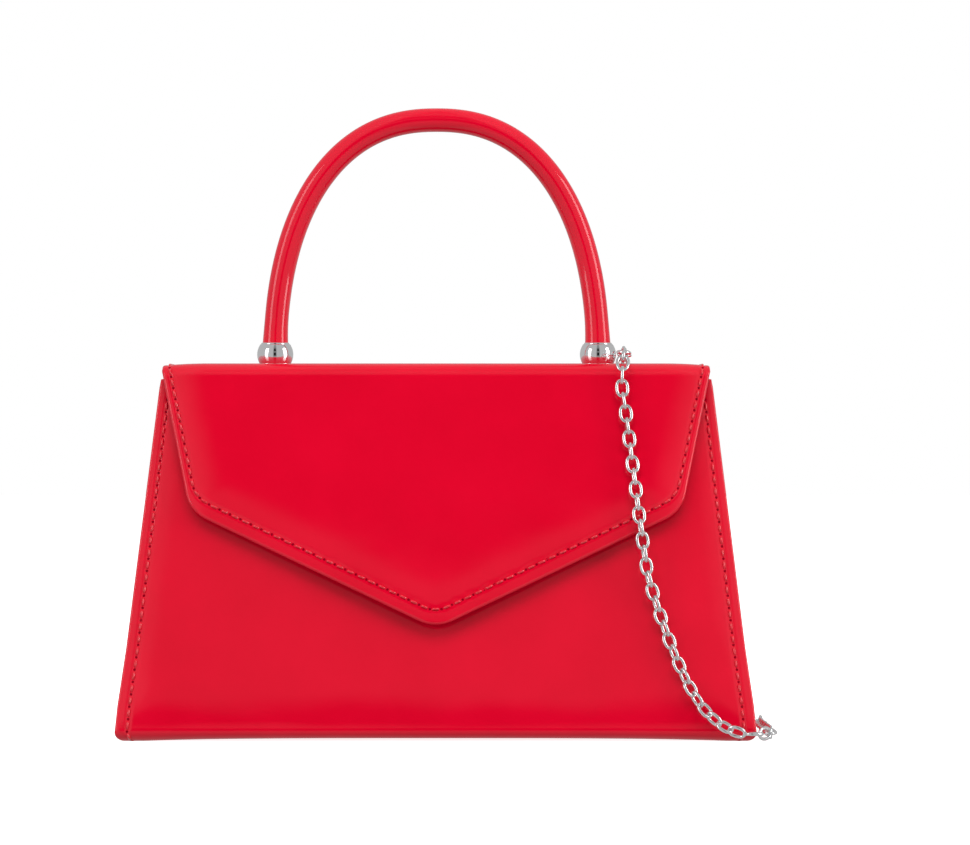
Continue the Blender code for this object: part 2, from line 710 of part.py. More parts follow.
def make_clasp(side_name, ring_frame):
    """A lobster clasp hooked on the ring, edge on to the back: body, gate and pin."""
    hook, half_wire = CLASP_HOOK_RADIUS, CLASP_WIRE / 2
    outer_arc = arc((0, 0), hook + half_wire, radians(-20), radians(180), 14)
    inner_arc = arc((0, 0), hook - half_wire, radians(180), radians(-20), 12)
    eye = (0.0, -0.0150)
    neck = [(-0.0046, -0.0070), (-0.0026, -0.0120)]
    eye_arc = arc(eye, 0.0028, radians(145), radians(395), 14)
    pivot_side = [(0.0030, -0.0117), (0.0046, -0.0095), (0.0046, -0.0078), (0.0006, -0.0078)]
    body_line = [*outer_arc, *neck, *eye_arc, *pivot_side, (-0.0022, -0.0050), *inner_arc]
    eye_hole = arc(eye, 0.0016, 0.0, 2 * pi * 15 / 16, 15)
    clasp_frame = empty(f"clasp_frame_{side_name}", CLASP_CENTRE - RING_BAR)
    clasp_frame.parent = ring_frame
    # the outline is drawn in X and Y, and stands in the plane across the back panel
    upright = Matrix.Rotation(pi / 2, 4, "Z") @ Matrix.Rotation(pi / 2, 4, "X")

    def stand(thing, along=(0.0, 0.0, 0.0)):
        thing.rotation_euler = upright.to_euler()
        thing.location = along
        thing.parent = clasp_frame
        return thing

    body = stand(plate(f"clasp_body_{side_name}", [body_line, eye_hole], CLASP_THICKNESS, CHROME))
    slot_line = [(0.0014, -0.0100), (0.0060, -0.0100), (0.0060, -0.0060), (0.0014, -0.0060)]
    slot = stand(plate(f"clasp_slot_{side_name}", [slot_line], 0.0014, None, None, cutters))
    cut(body, slot)
    pivot = (0.0033, -0.0090)
    gate_line = [
        (0.0021, -0.0095),
        (0.0030, -0.0098),
        (0.0041, -0.0094),
        (0.0043, -0.0078),
        (0.0060, -0.0056),
        (0.0058, -0.0046),
        (0.0045, -0.0050),
        (0.0048, -0.0021),
        (0.0031, -0.0018),
        (0.0026, -0.0072),
        (0.0020, -0.0086),
    ]
    gate = stand(plate(f"clasp_gate_{side_name}", [gate_line], 0.0009, CHROME))
    pin = stand(cylinder(f"gate_pin_{side_name}", 0.0004, CLASP_THICKNESS, STEEL, segments=12))
    pin.location = (0.0, pivot[0], pivot[1])
    hole = stand(cylinder(f"gate_hole_{side_name}", 0.0007, 0.0060, None, cutters, segments=16))
    hole.location = (0.0, pivot[0], pivot[1])
    cut(body, hole)
    cut(gate, hole)


def make_rings():
    for name, side in (("left", -1), ("right", 1)):
        make_ring_tab(f"ring_tab_{name}", side)
        ring_frame = empty(f"ring_axis_{name}", RING_BAR + Vector((side * RING_X, 0.0, 0.0)))
        ring_frame.parent = back_frame
        make_d_ring(f"d_ring_{name}", ring_frame)
        make_clasp(name, ring_frame)


# ---------------------------------------------------------------- chain strap
def make_chain():
    radius = CHAIN_DIAMETER / 2
    stretches = {
        "chain_right": CHAIN_RIGHT_ROUTE,
        "chain_drape": CHAIN_DRAPE_ROUTE,
        "chain_back": CHAIN_BACK_ROUTE,
        "chain_left": CHAIN_LEFT_ROUTE,
    }
    for name, route in stretches.items():
        tube(name, smooth_route(route, CHAIN_STEP), radius, CHROME)
    coil = [
        (COIL_INNER_RADIUS, COIL_HEIGHT),
        (COIL_OUTER_RADIUS, COIL_HEIGHT),
        (COIL_OUTER_RADIUS, GAP),
        (COIL_INNER_RADIUS, GAP),
        (COIL_INNER_RADIUS, COIL_HEIGHT),
    ]
    turned("chain_coil", coil, CHROME, COIL_CENTRE)


# ---------------------------------------------------------------- the whole purse
back_frame = empty("back_frame", (0.0, BASE_HALF_DEPTH, 0.0), SLOPE_ANGLE)
flap_frame = empty("flap_frame", FLAP_AXIS, -FLAP_LEAN)

make_outer_skin()
front_board = make_boards()
make_gusset("gusset_left", -1)
make_gusset("gusset_right", 1)
make_lining()
make_slip_pocket()
make_back_hem()
make_lid()
make_handle()
make_flap()
make_snap_socket(front_board)
make_rings()
make_chain()
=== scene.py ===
from math import acos, atan, cos, pi, radians, sin, sqrt, tan

import bmesh
import bpy
import numpy as np
from mathutils import Matrix, Vector


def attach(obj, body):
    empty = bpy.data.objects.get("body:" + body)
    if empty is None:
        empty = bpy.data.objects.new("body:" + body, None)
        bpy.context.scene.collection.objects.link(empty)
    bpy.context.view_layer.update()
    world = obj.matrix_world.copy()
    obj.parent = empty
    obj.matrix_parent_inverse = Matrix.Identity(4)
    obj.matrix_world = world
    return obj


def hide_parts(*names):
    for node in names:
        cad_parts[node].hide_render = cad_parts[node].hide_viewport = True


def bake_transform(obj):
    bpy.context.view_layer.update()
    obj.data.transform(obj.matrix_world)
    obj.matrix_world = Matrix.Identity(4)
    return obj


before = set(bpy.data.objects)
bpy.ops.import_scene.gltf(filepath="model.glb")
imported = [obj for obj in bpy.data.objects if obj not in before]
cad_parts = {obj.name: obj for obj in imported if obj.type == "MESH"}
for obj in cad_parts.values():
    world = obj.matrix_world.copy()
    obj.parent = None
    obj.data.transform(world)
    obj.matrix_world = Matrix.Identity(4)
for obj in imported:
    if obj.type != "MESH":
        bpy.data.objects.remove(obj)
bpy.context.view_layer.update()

# ---- sizes, in metres
BASE_HALF_WIDTH = 0.110
TOP_HALF_WIDTH = 0.095
BASE_HALF_DEPTH = 0.0370
WALL_TOP = 0.1245
STRIP_TOP = 0.1290
SLOPE = (BASE_HALF_DEPTH - 0.0140) / WALL_TOP
SLOPE_ANGLE = atan(SLOPE)
BASE_BEND_RADIUS = 0.0040
BASE_CORNER_RADIUS = 0.0030
BASE_BOW = 0.0009  # how far the middle of the base stands off the floor
BASE_BULGE = 0.0005  # how far the sides swell out just above the base
WRAP_RIM = 0.0008
WRAP_ROW_STEP = 0.0025
WRAP_WAVE = 0.00016
EDGE_SEAM_TOP = 0.0025  # from the body skin's rolled edge to its seam
EDGE_SEAM_BASE = 0.0035

COVER_HALF_WIDTH = 0.0950
FLAP_AXIS = (-0.0165, 0.1274)
FLAP_LEAN = SLOPE_ANGLE + radians(1.8)
FLAP_FACE = 0.0010  # from the fold's axis out to the flap's face
FLAP_CORNER = (0.0847, 0.0500)
FLAP_TIP = 0.0910
FLAP_CORNER_RADIUS = 0.0130
FLAP_TIP_RADIUS = 0.0137
FRONT_FOLD_RADIUS = 0.0050
BACK_FOLD_RADIUS = 0.0030
HEM_BOTTOM = 0.1040
HEM_CORNER_RADIUS = 0.0060
HEM_STAND_OFF = 0.0017
SEAM_SIDE = 0.0028
SEAM_LOWER = 0.0050
FLAP_RIM = 0.0010
STRIP_RIM = 0.0007
COVER_DEPTH = 0.0012
COVER_ROW_STEP = 0.0008
COVER_CROWN = (0.0007, 0.0150)  # its height, and how far in from the edge it is full
TIP_ROW_GROWTH = 0.00002
TIP_ROWS = 19
LEAST_HALF_WIDTH = 0.0003

GUSSET_BOTTOM = 0.0018
GUSSET_FLANGE = 0.0060
GUSSET_EDGE_INSET = 0.0008
GUSSET_WALL_INSET = 0.0017
GUSSET_RIPPLE = 0.00035
GUSSET_THICKNESS = 0.0009
LINING_INWARD = 0.0032
LINING_GAP = 0.0026  # from the gusset's crease to the lining's
LINING_SLACK = 0.0007
LINING_THICKNESS = 0.0006
LINING_PANEL_DEPTH = 0.0005
LINING_RIM = 0.0003
POCKET_INWARD = 0.0041
POCKET_HEIGHTS = (0.0380, 0.0980)
POCKET_HALF_WIDTH = 0.0550
LID_LINING_HEIGHT = 0.1252
LID_LINING_REACH = (-0.0150, 0.0125)
LID_LINING_HALF_WIDTH = 0.0895
FLAP_LINING_INWARD = 0.0022
FLAP_LINING_INSET = 0.0018
FLAP_LINING_TOP = 0.0063

SEAM_DIP_DEPTH = 0.00028
SEAM_DIP_WIDTH = 0.0006
STITCH_RADIUS = 0.00044
STITCH_GAP = 0.16  # share of a stitch left bare at each end
STITCH_RINGS = 7
STITCH_SIDES = 6
FINE_STITCH_RADIUS = 0.00022
# needle holes: flat discs in a dark red that is painted shade, in place of real dimples
HOLE_RADIUS = 0.00044
HOLE_SIDES = 8
HOLE_LIFT = 0.00007
EDGE_STEPS = 8  # rings round a rolled edge
SHARP_ANGLE = radians(65)

HANDLE_HALF_SPAN = 0.0564
HANDLE_RISE = 0.0858
HANDLE_POWER = 2.3
HANDLE_RADIUS = 0.0042
HANDLE_FLARE = 0.0004
BEAD_RADIUS = 0.0063
BEAD_HEIGHT = 0.0072
HANDLE_SUNK = 0.0006  # how far the handle's ends go down into the feet
HANDLE_SIDES = 28
HANDLE_GROOVE = 0.00012  # the seam along the handle's inner side
FLARE_REACH = 0.012
RIM_WIRE_RADIUS = 0.0005

RING_X = 0.0454
TAB_BAR = (0.0039, 0.1012)  # the ring's bar, out from the back wall and up it
TAB_LOOP_RADIUS = 0.00185
TAB_HALF_WIDTH = 0.0045
TAB_RIM = 0.0005

LINK_PITCH = 0.00445
LINK_HALF_LENGTH = 0.0028  # both to the middle of the wire
LINK_HALF_WIDTH = 0.0019
LINK_WIRE_RADIUS = 0.0006
LINK_TWIST = radians(50.0)  # how far a stretch turns on itself by its end
LINK_SQUARENESS = 0.85  # exponent of a link's outline; 1 is an ellipse
LINK_POINTS = 18
WIRE_SIDES = 8

COIL_CENTRE = (0.0300, 0.0755)
COIL_INNER = 0.0242
COIL_OUTER = 0.0296
COIL_LOW = 0.0029
COIL_HIGH = 0.0079

CHAIN_RIGHT_ROUTE = [
    (0.0454, 0.0291, 0.0736), (0.0454, 0.0287, 0.0690), (0.0462, 0.0286, 0.0645),
    (0.0486, 0.0290, 0.0608), (0.0520, 0.0294, 0.0588), (0.0556, 0.0295, 0.0582),
    (0.0592, 0.0292, 0.0590), (0.0625, 0.0286, 0.0614), (0.0647, 0.0277, 0.0652),
    (0.0654, 0.0269, 0.0705), (0.0654, 0.0258, 0.0770), (0.0654, 0.0245, 0.0870),
    (0.0654, 0.0234, 0.0970), (0.0654, 0.0221, 0.1070), (0.0654, 0.0211, 0.1130),
    (0.0654, 0.0206, 0.1177),
]
CHAIN_DRAPE_ROUTE = [
    (0.0654, 0.0206, 0.1180), (0.0654, 0.0204, 0.1230), (0.0654, 0.0203, 0.1281),
    (0.0654, 0.0187, 0.1314), (0.0654, 0.0156, 0.1335), (0.0655, 0.0118, 0.1339),
    (0.0655, 0.0040, 0.1330), (0.0655, -0.0050, 0.1326), (0.0653, -0.0110, 0.1329),
    (0.0651, -0.0145, 0.1334), (0.0648, -0.0182, 0.1325), (0.0645, -0.0209, 0.1303),
    (0.0643, -0.0222, 0.1272), (0.0642, -0.0228, 0.1210), (0.0652, -0.0241, 0.1140),
    (0.0662, -0.0254, 0.1065), (0.0672, -0.0271, 0.0982), (0.0683, -0.0290, 0.0895),
    (0.0693, -0.0309, 0.0810), (0.0703, -0.0322, 0.0735), (0.0714, -0.0322, 0.0655),
    (0.0728, -0.0317, 0.0568), (0.0754, -0.0319, 0.0479), (0.0784, -0.0332, 0.0390),
    (0.0816, -0.0347, 0.0304), (0.0852, -0.0361, 0.0222), (0.0890, -0.0375, 0.0152),
    (0.0932, -0.0388, 0.0097), (0.0980, -0.0399, 0.0058), (0.1015, -0.0407, 0.0040),
    (0.1050, -0.0411, 0.0031),
]
CHAIN_BACK_ROUTE = [
    (0.1066, -0.0411, 0.0030), (0.1086, -0.0408, 0.0029), (0.1108, -0.0399, 0.0029),
    (0.1137, -0.0370, 0.0029), (0.1148, -0.0330, 0.0029), (0.1149, -0.0260, 0.0029),
    (0.1145, -0.0100, 0.0029), (0.1142, 0.0100, 0.0029), (0.1144, 0.0260, 0.0029),
    (0.1147, 0.0330, 0.0029), (0.1136, 0.0370, 0.0029), (0.1107, 0.0399, 0.0029),
    (0.1068, 0.0412, 0.0029), (0.0970, 0.0432, 0.0029), (0.0860, 0.0456, 0.0029),
    (0.0760, 0.0493, 0.0029), (0.0692, 0.0552, 0.0029), (0.0660, 0.0630, 0.0029),
    (0.0652, 0.0700, 0.0029),
]
CHAIN_LEFT_ROUTE = [
    (-0.0050, 0.0720, 0.0029), (-0.0058, 0.0630, 0.0029), (-0.0105, 0.0545, 0.0029),
    (-0.0190, 0.0490, 0.0029), (-0.0290, 0.0462, 0.0029), (-0.0370, 0.0443, 0.0042),
    (-0.0425, 0.0417, 0.0085), (-0.0448, 0.0388, 0.0160), (-0.0453, 0.0366, 0.0270),
    (-0.0454, 0.0344, 0.0390), (-0.0454, 0.0321, 0.0510), (-0.0454, 0.0300, 0.0630),
    (-0.0454, 0.0291, 0.0736),
]


def put(name, data):
    """A new object in the scene."""
    thing = bpy.data.objects.new(name, data)
    bpy.context.scene.collection.objects.link(thing)
    return thing


# ---- camera
camera_data = bpy.data.cameras.new("camera")
camera_data.lens = 195.3
camera_data.sensor_width = 36.0
camera_data.clip_end = 50.0
camera = put("camera", camera_data)
camera.location = (0.0169, -1.8368, 0.1092)
camera.rotation_euler = (pi / 2, 0.0, 0.0)
bpy.context.scene.camera = camera


# ---- materials
class Shader:
    """A Principled material with helpers for the procedural nodes that feed it."""

    def __init__(self, name, roughness, metallic=0.0, **sockets):
        self.material = bpy.data.materials.new(name)
        self.material.use_nodes = True
        self.tree = self.material.node_tree
        self.bsdf = self.tree.nodes["Principled BSDF"]
        self.bsdf.inputs["Roughness"].default_value = roughness
        self.bsdf.inputs["Metallic"].default_value = metallic
        for socket, value in sockets.items():
            self.bsdf.inputs[socket.replace("_", " ")].default_value = value
        self.place = self.tree.nodes.new("ShaderNodeTexCoord").outputs["Object"]

    def node(self, kind, links=None, **values):
        made = self.tree.nodes.new(kind)
        for socket, value in values.items():
            made.inputs[socket].default_value = value
        for socket, source in (links or {}).items():
            self.tree.links.new(source, made.inputs[socket])
        return made

    def noise(self, scale, detail=3.0, stretch=None):
        place = self.place
        if stretch:
            place = self.node("ShaderNodeMapping", {"Vector": place}, Scale=stretch).outputs[0]
        noise = self.node("ShaderNodeTexNoise", {"Vector": place}, Scale=scale, Detail=detail)
        return noise.outputs["Fac"]

    def ramp(self, factor, stops):
        ramp = self.node("ShaderNodeValToRGB", {"Fac": factor})
        elements = ramp.color_ramp.elements
        while len(elements) < len(stops):
            elements.new(0.5)
        for element, (position, colour) in zip(elements, stops):
            element.position = position
            element.color = (*colour, 1.0)
        return ramp.outputs["Color"]

    def colour(self, factor, stops):
        self.tree.links.new(self.ramp(factor, stops), self.bsdf.inputs["Base Color"])

    def roughness(self, factor, low, high):
        ends = {"To Min": low, "To Max": high}
        spread = self.node("ShaderNodeMapRange", {"Value": factor}, **ends)
        self.tree.links.new(spread.outputs["Result"], self.bsdf.inputs["Roughness"])

    def bump(self, height, distance, strength=1.0, coat=False):
        """Bump from a height; a second call adds to the first."""
        normal = self.bsdf.inputs["Normal"]
        links = {"Height": height}
        if normal.is_linked:
            links["Normal"] = normal.links[0].from_socket
        bump = self.node("ShaderNodeBump", links, Strength=strength, Distance=distance)
        self.tree.links.new(bump.outputs["Normal"], normal)
        if coat:
            self.tree.links.new(bump.outputs["Normal"], self.bsdf.inputs["Coat Normal"])


def patent():
    gloss = {"Coat_Weight": 1.0, "Coat_Roughness": 0.05, "Coat_IOR": 1.5}
    shader = Shader("patent_red", 0.32, Specular_IOR_Level=0.05, **gloss)
    low, high = (0.77, 0.0006, 0.022), (0.83, 0.0010, 0.026)
    shader.colour(shader.noise(38.0, 4.0), [(0.3, low), (0.7, high)])
    shader.roughness(shader.noise(160.0), 0.26, 0.38)
    shader.bump(shader.noise(24.0, 2.0), 0.0006, 0.5, coat=True)
    shader.bump(shader.noise(900.0, 2.0), 0.00002, 0.35, coat=True)
    return shader.material


def sewing_thread(name, roughness, stops, **sockets):
    shader = Shader(name, roughness, **sockets)
    shader.colour(shader.noise(1400.0), stops)
    shader.bump(shader.noise(3000.0, 2.0), 0.00005, 0.6)
    return shader.material


# painted shade: a dark matte red without specular for the needle-hole discs, standing in for the
# shade inside real dimples
def needle_hole():
    shader = Shader("needle_hole", 0.9, Specular_IOR_Level=0.0)
    low, high = (0.26, 0.000, 0.008), (0.36, 0.001, 0.012)
    shader.colour(shader.noise(900.0), [(0.3, low), (0.7, high)])
    return shader.material


def lining_cloth():
    shader = Shader("lining_black", 0.72, Sheen_Weight=0.25, Sheen_Roughness=0.4)
    place = {"Vector": shader.place}
    warp = shader.node("ShaderNodeTexWave", place, Scale=420.0, Distortion=0.6)
    weft = shader.node("ShaderNodeTexWave", place, Scale=420.0, Distortion=0.6)
    weft.bands_direction = "Z"
    weave = shader.node("ShaderNodeMath", {0: warp.outputs["Fac"], 1: weft.outputs["Fac"]})
    weave.operation = "MULTIPLY"
    shader.colour(shader.noise(70.0), [(0.3, (0.010, 0.010, 0.011)), (0.7, (0.026, 0.025, 0.027))])
    shader.roughness(shader.noise(240.0), 0.62, 0.82)
    shader.bump(weave.outputs[0], 0.00012, 0.7)
    return shader.material


def metal(name, colour, low, high, scratches):
    """Plated metal: smudges in its roughness, and hairline scratches."""
    shader = Shader(name, low, 1.0)
    darker = tuple(c * 0.88 for c in colour)
    shader.colour(shader.noise(55.0), [(0.3, darker), (0.7, colour)])
    shader.roughness(shader.noise(120.0, 5.0), low, high)
    shader.bump(shader.noise(420.0, 2.0, (1.0, 1.0, 0.12)), 0.00003, scratches)
    return shader.material


def fibreboard():
    shader = Shader("board", 0.9)
    grain = shader.noise(260.0, 6.0, (1.0, 1.0, 0.3))
    shader.colour(grain, [(0.25, (0.33, 0.29, 0.23)), (0.75, (0.55, 0.50, 0.42))])
    shader.bump(shader.noise(700.0, 4.0), 0.00015, 0.5)
    return shader.material


def foam():
    shader = Shader("foam_core", 0.85)
    cells = shader.node("ShaderNodeTexVoronoi", {"Vector": shader.place}, Scale=1500.0)
    shader.colour(cells.outputs["Distance"], [(0.0, (0.50, 0.48, 0.42)), (0.6, (0.78, 0.76, 0.70))])
    shader.bump(cells.outputs["Distance"], 0.0002, 0.6)
    return shader.material


PATENT = patent()
RED_STOPS = [(0.35, (0.78, 0.001, 0.018)), (0.65, (0.86, 0.002, 0.026))]
BLACK_STOPS = [(0.3, (0.015, 0.015, 0.016)), (0.7, (0.05, 0.05, 0.052))]
THREAD = sewing_thread("thread_red", 0.3, RED_STOPS, Coat_Weight=1.0, Coat_Roughness=0.06)
THREAD_BLACK = sewing_thread("thread_black", 0.5, BLACK_STOPS, Sheen_Weight=0.3)
HOLE_SHADE = needle_hole()
LINING = lining_cloth()
CHROME = metal("chrome", (0.90, 0.90, 0.91), 0.05, 0.12, 0.12)
LINK = metal("chain_steel", (0.93, 0.93, 0.94), 0.16, 0.28, 0.25)
PLATE = metal("zinc_plate", (0.55, 0.55, 0.56), 0.30, 0.42, 0.5)
MAGNET = metal("magnet", (0.17, 0.17, 0.18), 0.40, 0.55, 0.6)
BOARD = fibreboard()
CORE = foam()


# ---- mesh helpers
def add(name, verts, faces, materials, indices=None):
    """A smooth mesh object with its faces turned outward."""
    mesh = bpy.data.meshes.new(name)
    mesh.from_pydata([tuple(v) for v in verts], [], faces)
    for material in materials:
        mesh.materials.append(material)
    if indices is not None:
        mesh.polygons.foreach_set("material_index", indices)
    bm = bmesh.new()
    bm.from_mesh(mesh)
    bmesh.ops.recalc_face_normals(bm, faces=bm.faces)
    bm.to_mesh(mesh)
    bm.free()
    mesh.shade_smooth()
    mesh.set_sharp_from_angle(angle=SHARP_ANGLE)
    return put(name, mesh)


def tube_faces(start, rows, sides, closed=False):
    """Faces between rings of points; closed also joins the last ring to the first."""
    faces = []
    for k in range(rows if closed else rows - 1):
        for j in range(sides):
            p, q = start + k * sides, start + (k + 1) % rows * sides
            faces.append((p + j, p + (j + 1) % sides, q + (j + 1) % sides, q + j))
    return faces


def end_faces(start, rows, sides):
    """The two faces that close a tube's ends."""
    last = start + (rows - 1) * sides
    return [tuple(range(start, start + sides)), tuple(range(last, last + sides))]


def signed_power(value, power):
    """A power of a number's size, with the number's sign."""
    return abs(value) ** power * (1 if value > 0 else -1)


def smooth_route(route, step):
    """Evenly spaced points on a smooth curve through a route's points."""
    points = [Vector(p) for p in route]
    ends = [points[0] * 2 - points[1], *points, points[-1] * 2 - points[-2]]
    dense, parts = [], 12
    for p0, p1, p2, p3 in zip(ends, ends[1:], ends[2:], ends[3:]):
        for i in range(parts):
            t = i / parts
            bend = (2 * p0 - 5 * p1 + 4 * p2 - p3) * t * t + (3 * p1 - p0 - 3 * p2 + p3) * t**3
            dense.append(0.5 * (2 * p1 + (p2 - p0) * t + bend))
    dense.append(points[-1])
    return evenly(dense, step)


def evenly(dense, step):
    """Points an equal distance apart along a dense line, both ends included."""
    line = np.array([tuple(p) for p in dense])
    run = np.r_[0.0, np.cumsum(np.linalg.norm(np.diff(line, axis=0), axis=1))]
    want = np.linspace(0.0, run[-1], max(2, round(run[-1] / step) + 1))
    return [Vector([np.interp(s, run, line[:, k]) for k in range(line.shape[1])]) for s in want]


def length_of(line):
    return sum((Vector(b) - Vector(a)).length for a, b in zip(line, line[1:]))


# ---- the chain strap
def coil_route(start, end):
    """Three and a half turns: low outer, low inner, high inner, then out over the top."""
    centre = Vector((*COIL_CENTRE, 0.0))
    first, last = Vector(start) - centre, Vector(end) - centre
    begin = np.arctan2(first.y, first.x)
    finish = np.arctan2(last.y, last.x) % (2 * pi) + 6 * pi
    knots = [
        (begin, first.to_2d().length, first.z),
        (begin + radians(70), COIL_OUTER, COIL_LOW),
        (begin + radians(335), COIL_OUTER, COIL_LOW),
        (begin + radians(395), COIL_INNER, COIL_LOW),
        (begin + radians(660), COIL_INNER, COIL_LOW),
        (begin + radians(705), COIL_INNER, COIL_HIGH),
        (begin + radians(1010), COIL_INNER, COIL_HIGH),
        (begin + radians(1075), COIL_OUTER, COIL_HIGH),
        (finish - radians(75), COIL_OUTER, COIL_HIGH),
        (finish, last.to_2d().length, last.z),
    ]
    angles, radii, heights = (np.array(values) for values in zip(*knots))
    turns = np.arange(begin, finish, radians(20))
    points = []
    for angle in turns:
        k = min(int(np.searchsorted(angles, angle, side="right")), len(angles) - 1)
        t = (angle - angles[k - 1]) / (angles[k] - angles[k - 1])
        t = t * t * (3 - 2 * t)
        radius = radii[k - 1] + (radii[k] - radii[k - 1]) * t
        height = heights[k - 1] + (heights[k] - heights[k - 1]) * t
        points.append(centre + Vector((radius * cos(angle), radius * sin(angle), height)))
    return points[1:]


def link_points(middle, tangent, wide, thin):
    """The points of one link: a ring of wire, longer along the tangent than it is wide."""
    points = []
    for i in range(LINK_POINTS):
        a = 2 * pi * i / LINK_POINTS
        along, aside = tangent * cos(a) * LINK_HALF_WIDTH, wide * sin(a) * LINK_HALF_LENGTH
        out = (along + aside).normalized()
        spot = middle + tangent * LINK_HALF_LENGTH * signed_power(cos(a), LINK_SQUARENESS)
        spot = spot + wide * LINK_HALF_WIDTH * signed_power(sin(a), LINK_SQUARENESS)
        for j in range(WIRE_SIDES):
            b = 2 * pi * j / WIRE_SIDES
            points.append(spot + (out * cos(b) + thin * sin(b)) * LINK_WIRE_RADIUS)
    return points


def link_chain(name, route, normal):
    """Oval links along a route, each a quarter turn from the last, and the route they follow."""
    path = smooth_route(route, 0.0010)
    count = int(length_of(path) / LINK_PITCH)
    centres = evenly(path, length_of(path) / (count * 2))
    verts, faces = [], []
    normal = Vector(normal)
    for k in range(count):
        tangent = (centres[2 * k + 2] - centres[2 * k]).normalized()
        normal = (normal - tangent * normal.dot(tangent)).normalized()
        across = tangent.cross(normal)
        turn = LINK_TWIST * (k / count) ** 2 + (k % 2) * pi / 2
        wide = across * cos(turn) + normal * sin(turn)
        thin = normal * cos(turn) - across * sin(turn)
        faces += tube_faces(len(verts), LINK_POINTS, WIRE_SIDES, closed=True)
        verts += link_points(centres[2 * k + 1], tangent, wide, thin)
    return add(name, verts, faces, [LINK]), path


def strap(name, route, normal, nodes):
    """One stretch of the chain strap."""
    chain, path = link_chain(name, route, normal)
    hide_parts(*nodes)
    return chain


strap_right = strap("strap_right", CHAIN_RIGHT_ROUTE, (0, 1, 0), ["chain_right"])
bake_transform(strap_right)
strap_drape = strap("strap_drape", CHAIN_DRAPE_ROUTE, (0, 1, 0), ["chain_drape"])
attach(strap_drape, "drape")
rest_route = [
    *CHAIN_BACK_ROUTE,
    *coil_route(CHAIN_BACK_ROUTE[-1], CHAIN_LEFT_ROUTE[0]),
    *CHAIN_LEFT_ROUTE,
]
rest_nodes = ["chain_back", "chain_coil", "chain_left"]
strap_rest = strap("strap_rest", rest_route, (0, 0, 1), rest_nodes)
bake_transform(strap_rest)


# ---- bending skins
class Skin:
    """A skin across the purse along a path of (y, z), with rolled edges.

    A place on it is (x, run): across the purse, and along the path from its start.
    """

    def __init__(self, path, lift):
        self.path = np.array(path, float)
        steps = np.diff(self.path, axis=0)
        self.run = np.r_[0.0, np.cumsum(np.linalg.norm(steps, axis=1))]
        tangent = np.gradient(self.path, self.run, axis=0)
        tangent /= np.linalg.norm(tangent, axis=1)[:, None]
        self.tangent = tangent
        self.normal = np.c_[tangent[:, 1], -tangent[:, 0]]
        self.lift = lift

    def at(self, values, run):
        return np.stack([np.interp(run, self.run, values[:, k]) for k in (0, 1)], axis=-1)

    def place(self, x, run, height=0.0):
        """Points on the face, and how far above it, as an array of (x, y, z)."""
        x, run = np.broadcast_arrays(np.asarray(x, float), np.asarray(run, float))
        normal = self.at(self.normal, run)
        offset = (self.lift(x, run) + height)[..., None]
        return np.concatenate([x[..., None], self.at(self.path, run) + normal * offset], axis=-1)

    def outward(self, face, loop, open_start, open_end):
        """Unit directions out of the skin round its edge, and zero along an open end."""
        m, n = face.shape[:2]
        directions = []
        for j, i in loop:
            out = np.zeros(3)
            if i in (0, n - 1):
                edge = face[min(j + 1, m - 1), i] - face[max(j - 1, 0), i]
                side = np.cross(edge, (0.0, *self.normal[j]))
                out += side / np.linalg.norm(side) * (1 if side[0] * (i - n / 2) > 0 else -1)
            if j == 0 and not open_start:
                out -= (0.0, *self.tangent[j])
            if j == m - 1 and not open_end:
                out += (0.0, *self.tangent[j])
            directions.append(out / max(np.linalg.norm(out), 1e-12))
        return np.array(directions)

    def rolled_edge(self, face, loop, outward, rim):
        """Rings of points that round the edge from the face to the inner side."""
        start = np.array([face[j, i] for j, i in loop])
        down = np.array([(0.0, *self.normal[j]) for j, i in loop])
        radii = np.array([rim[j] for j, i in loop])[:, None]
        rings = []
        for k in range(1, EDGE_STEPS + 1):
            a = pi * k / EDGE_STEPS
            rings.append(start + outward * radii * sin(a) - down * radii * (1 - cos(a)))
        return rings

    def build(self, name, half, depth, rim, open_start=False, open_end=False, material=PATENT):
        """The skin as a mesh; half is its edge's distance from the middle at each row."""
        shares = column_shares()
        x = np.outer(half, shares)
        run = np.repeat(self.run[:, None], len(shares), axis=1)
        face = self.place(x, run)
        inner_x = np.sign(x) * np.maximum(np.abs(x) - 0.8 * rim[:, None], 0.0)
        inner = self.place(inner_x, run, -depth[:, None])
        m, n = x.shape
        loop = edge_loop(m, n)
        rings = self.rolled_edge(face, loop, self.outward(face, loop, open_start, open_end), rim)
        verts = np.concatenate([face.reshape(-1, 3), inner.reshape(-1, 3), *rings])
        faces = []
        for j in range(m - 1):
            for i in range(n - 1):
                a, b = j * n + i, (j + 1) * n + i
                faces.append((a, a + 1, b + 1, b))
                faces.append((m * n + a, m * n + b, m * n + b + 1, m * n + a + 1))
        count = len(loop)
        loops = [[j * n + i for j, i in loop]]
        loops += [[2 * m * n + k * count + q for q in range(count)] for k in range(EDGE_STEPS)]
        loops += [[m * n + q for q in loops[0]]]
        for a, b in zip(loops, loops[1:]):
            for q in range(count):
                r = (q + 1) % count
                faces.append((a[q], a[r], b[r], b[q]))
        return add(name, verts, faces, [material])


def edge_loop(rows, columns):
    """The (row, column) places round the edge of a grid."""
    loop = [(0, i) for i in range(columns)] + [(j, columns - 1) for j in range(1, rows)]
    loop += [(rows - 1, i) for i in range(columns - 2, -1, -1)]
    return loop + [(j, 0) for j in range(rows - 2, 0, -1)]


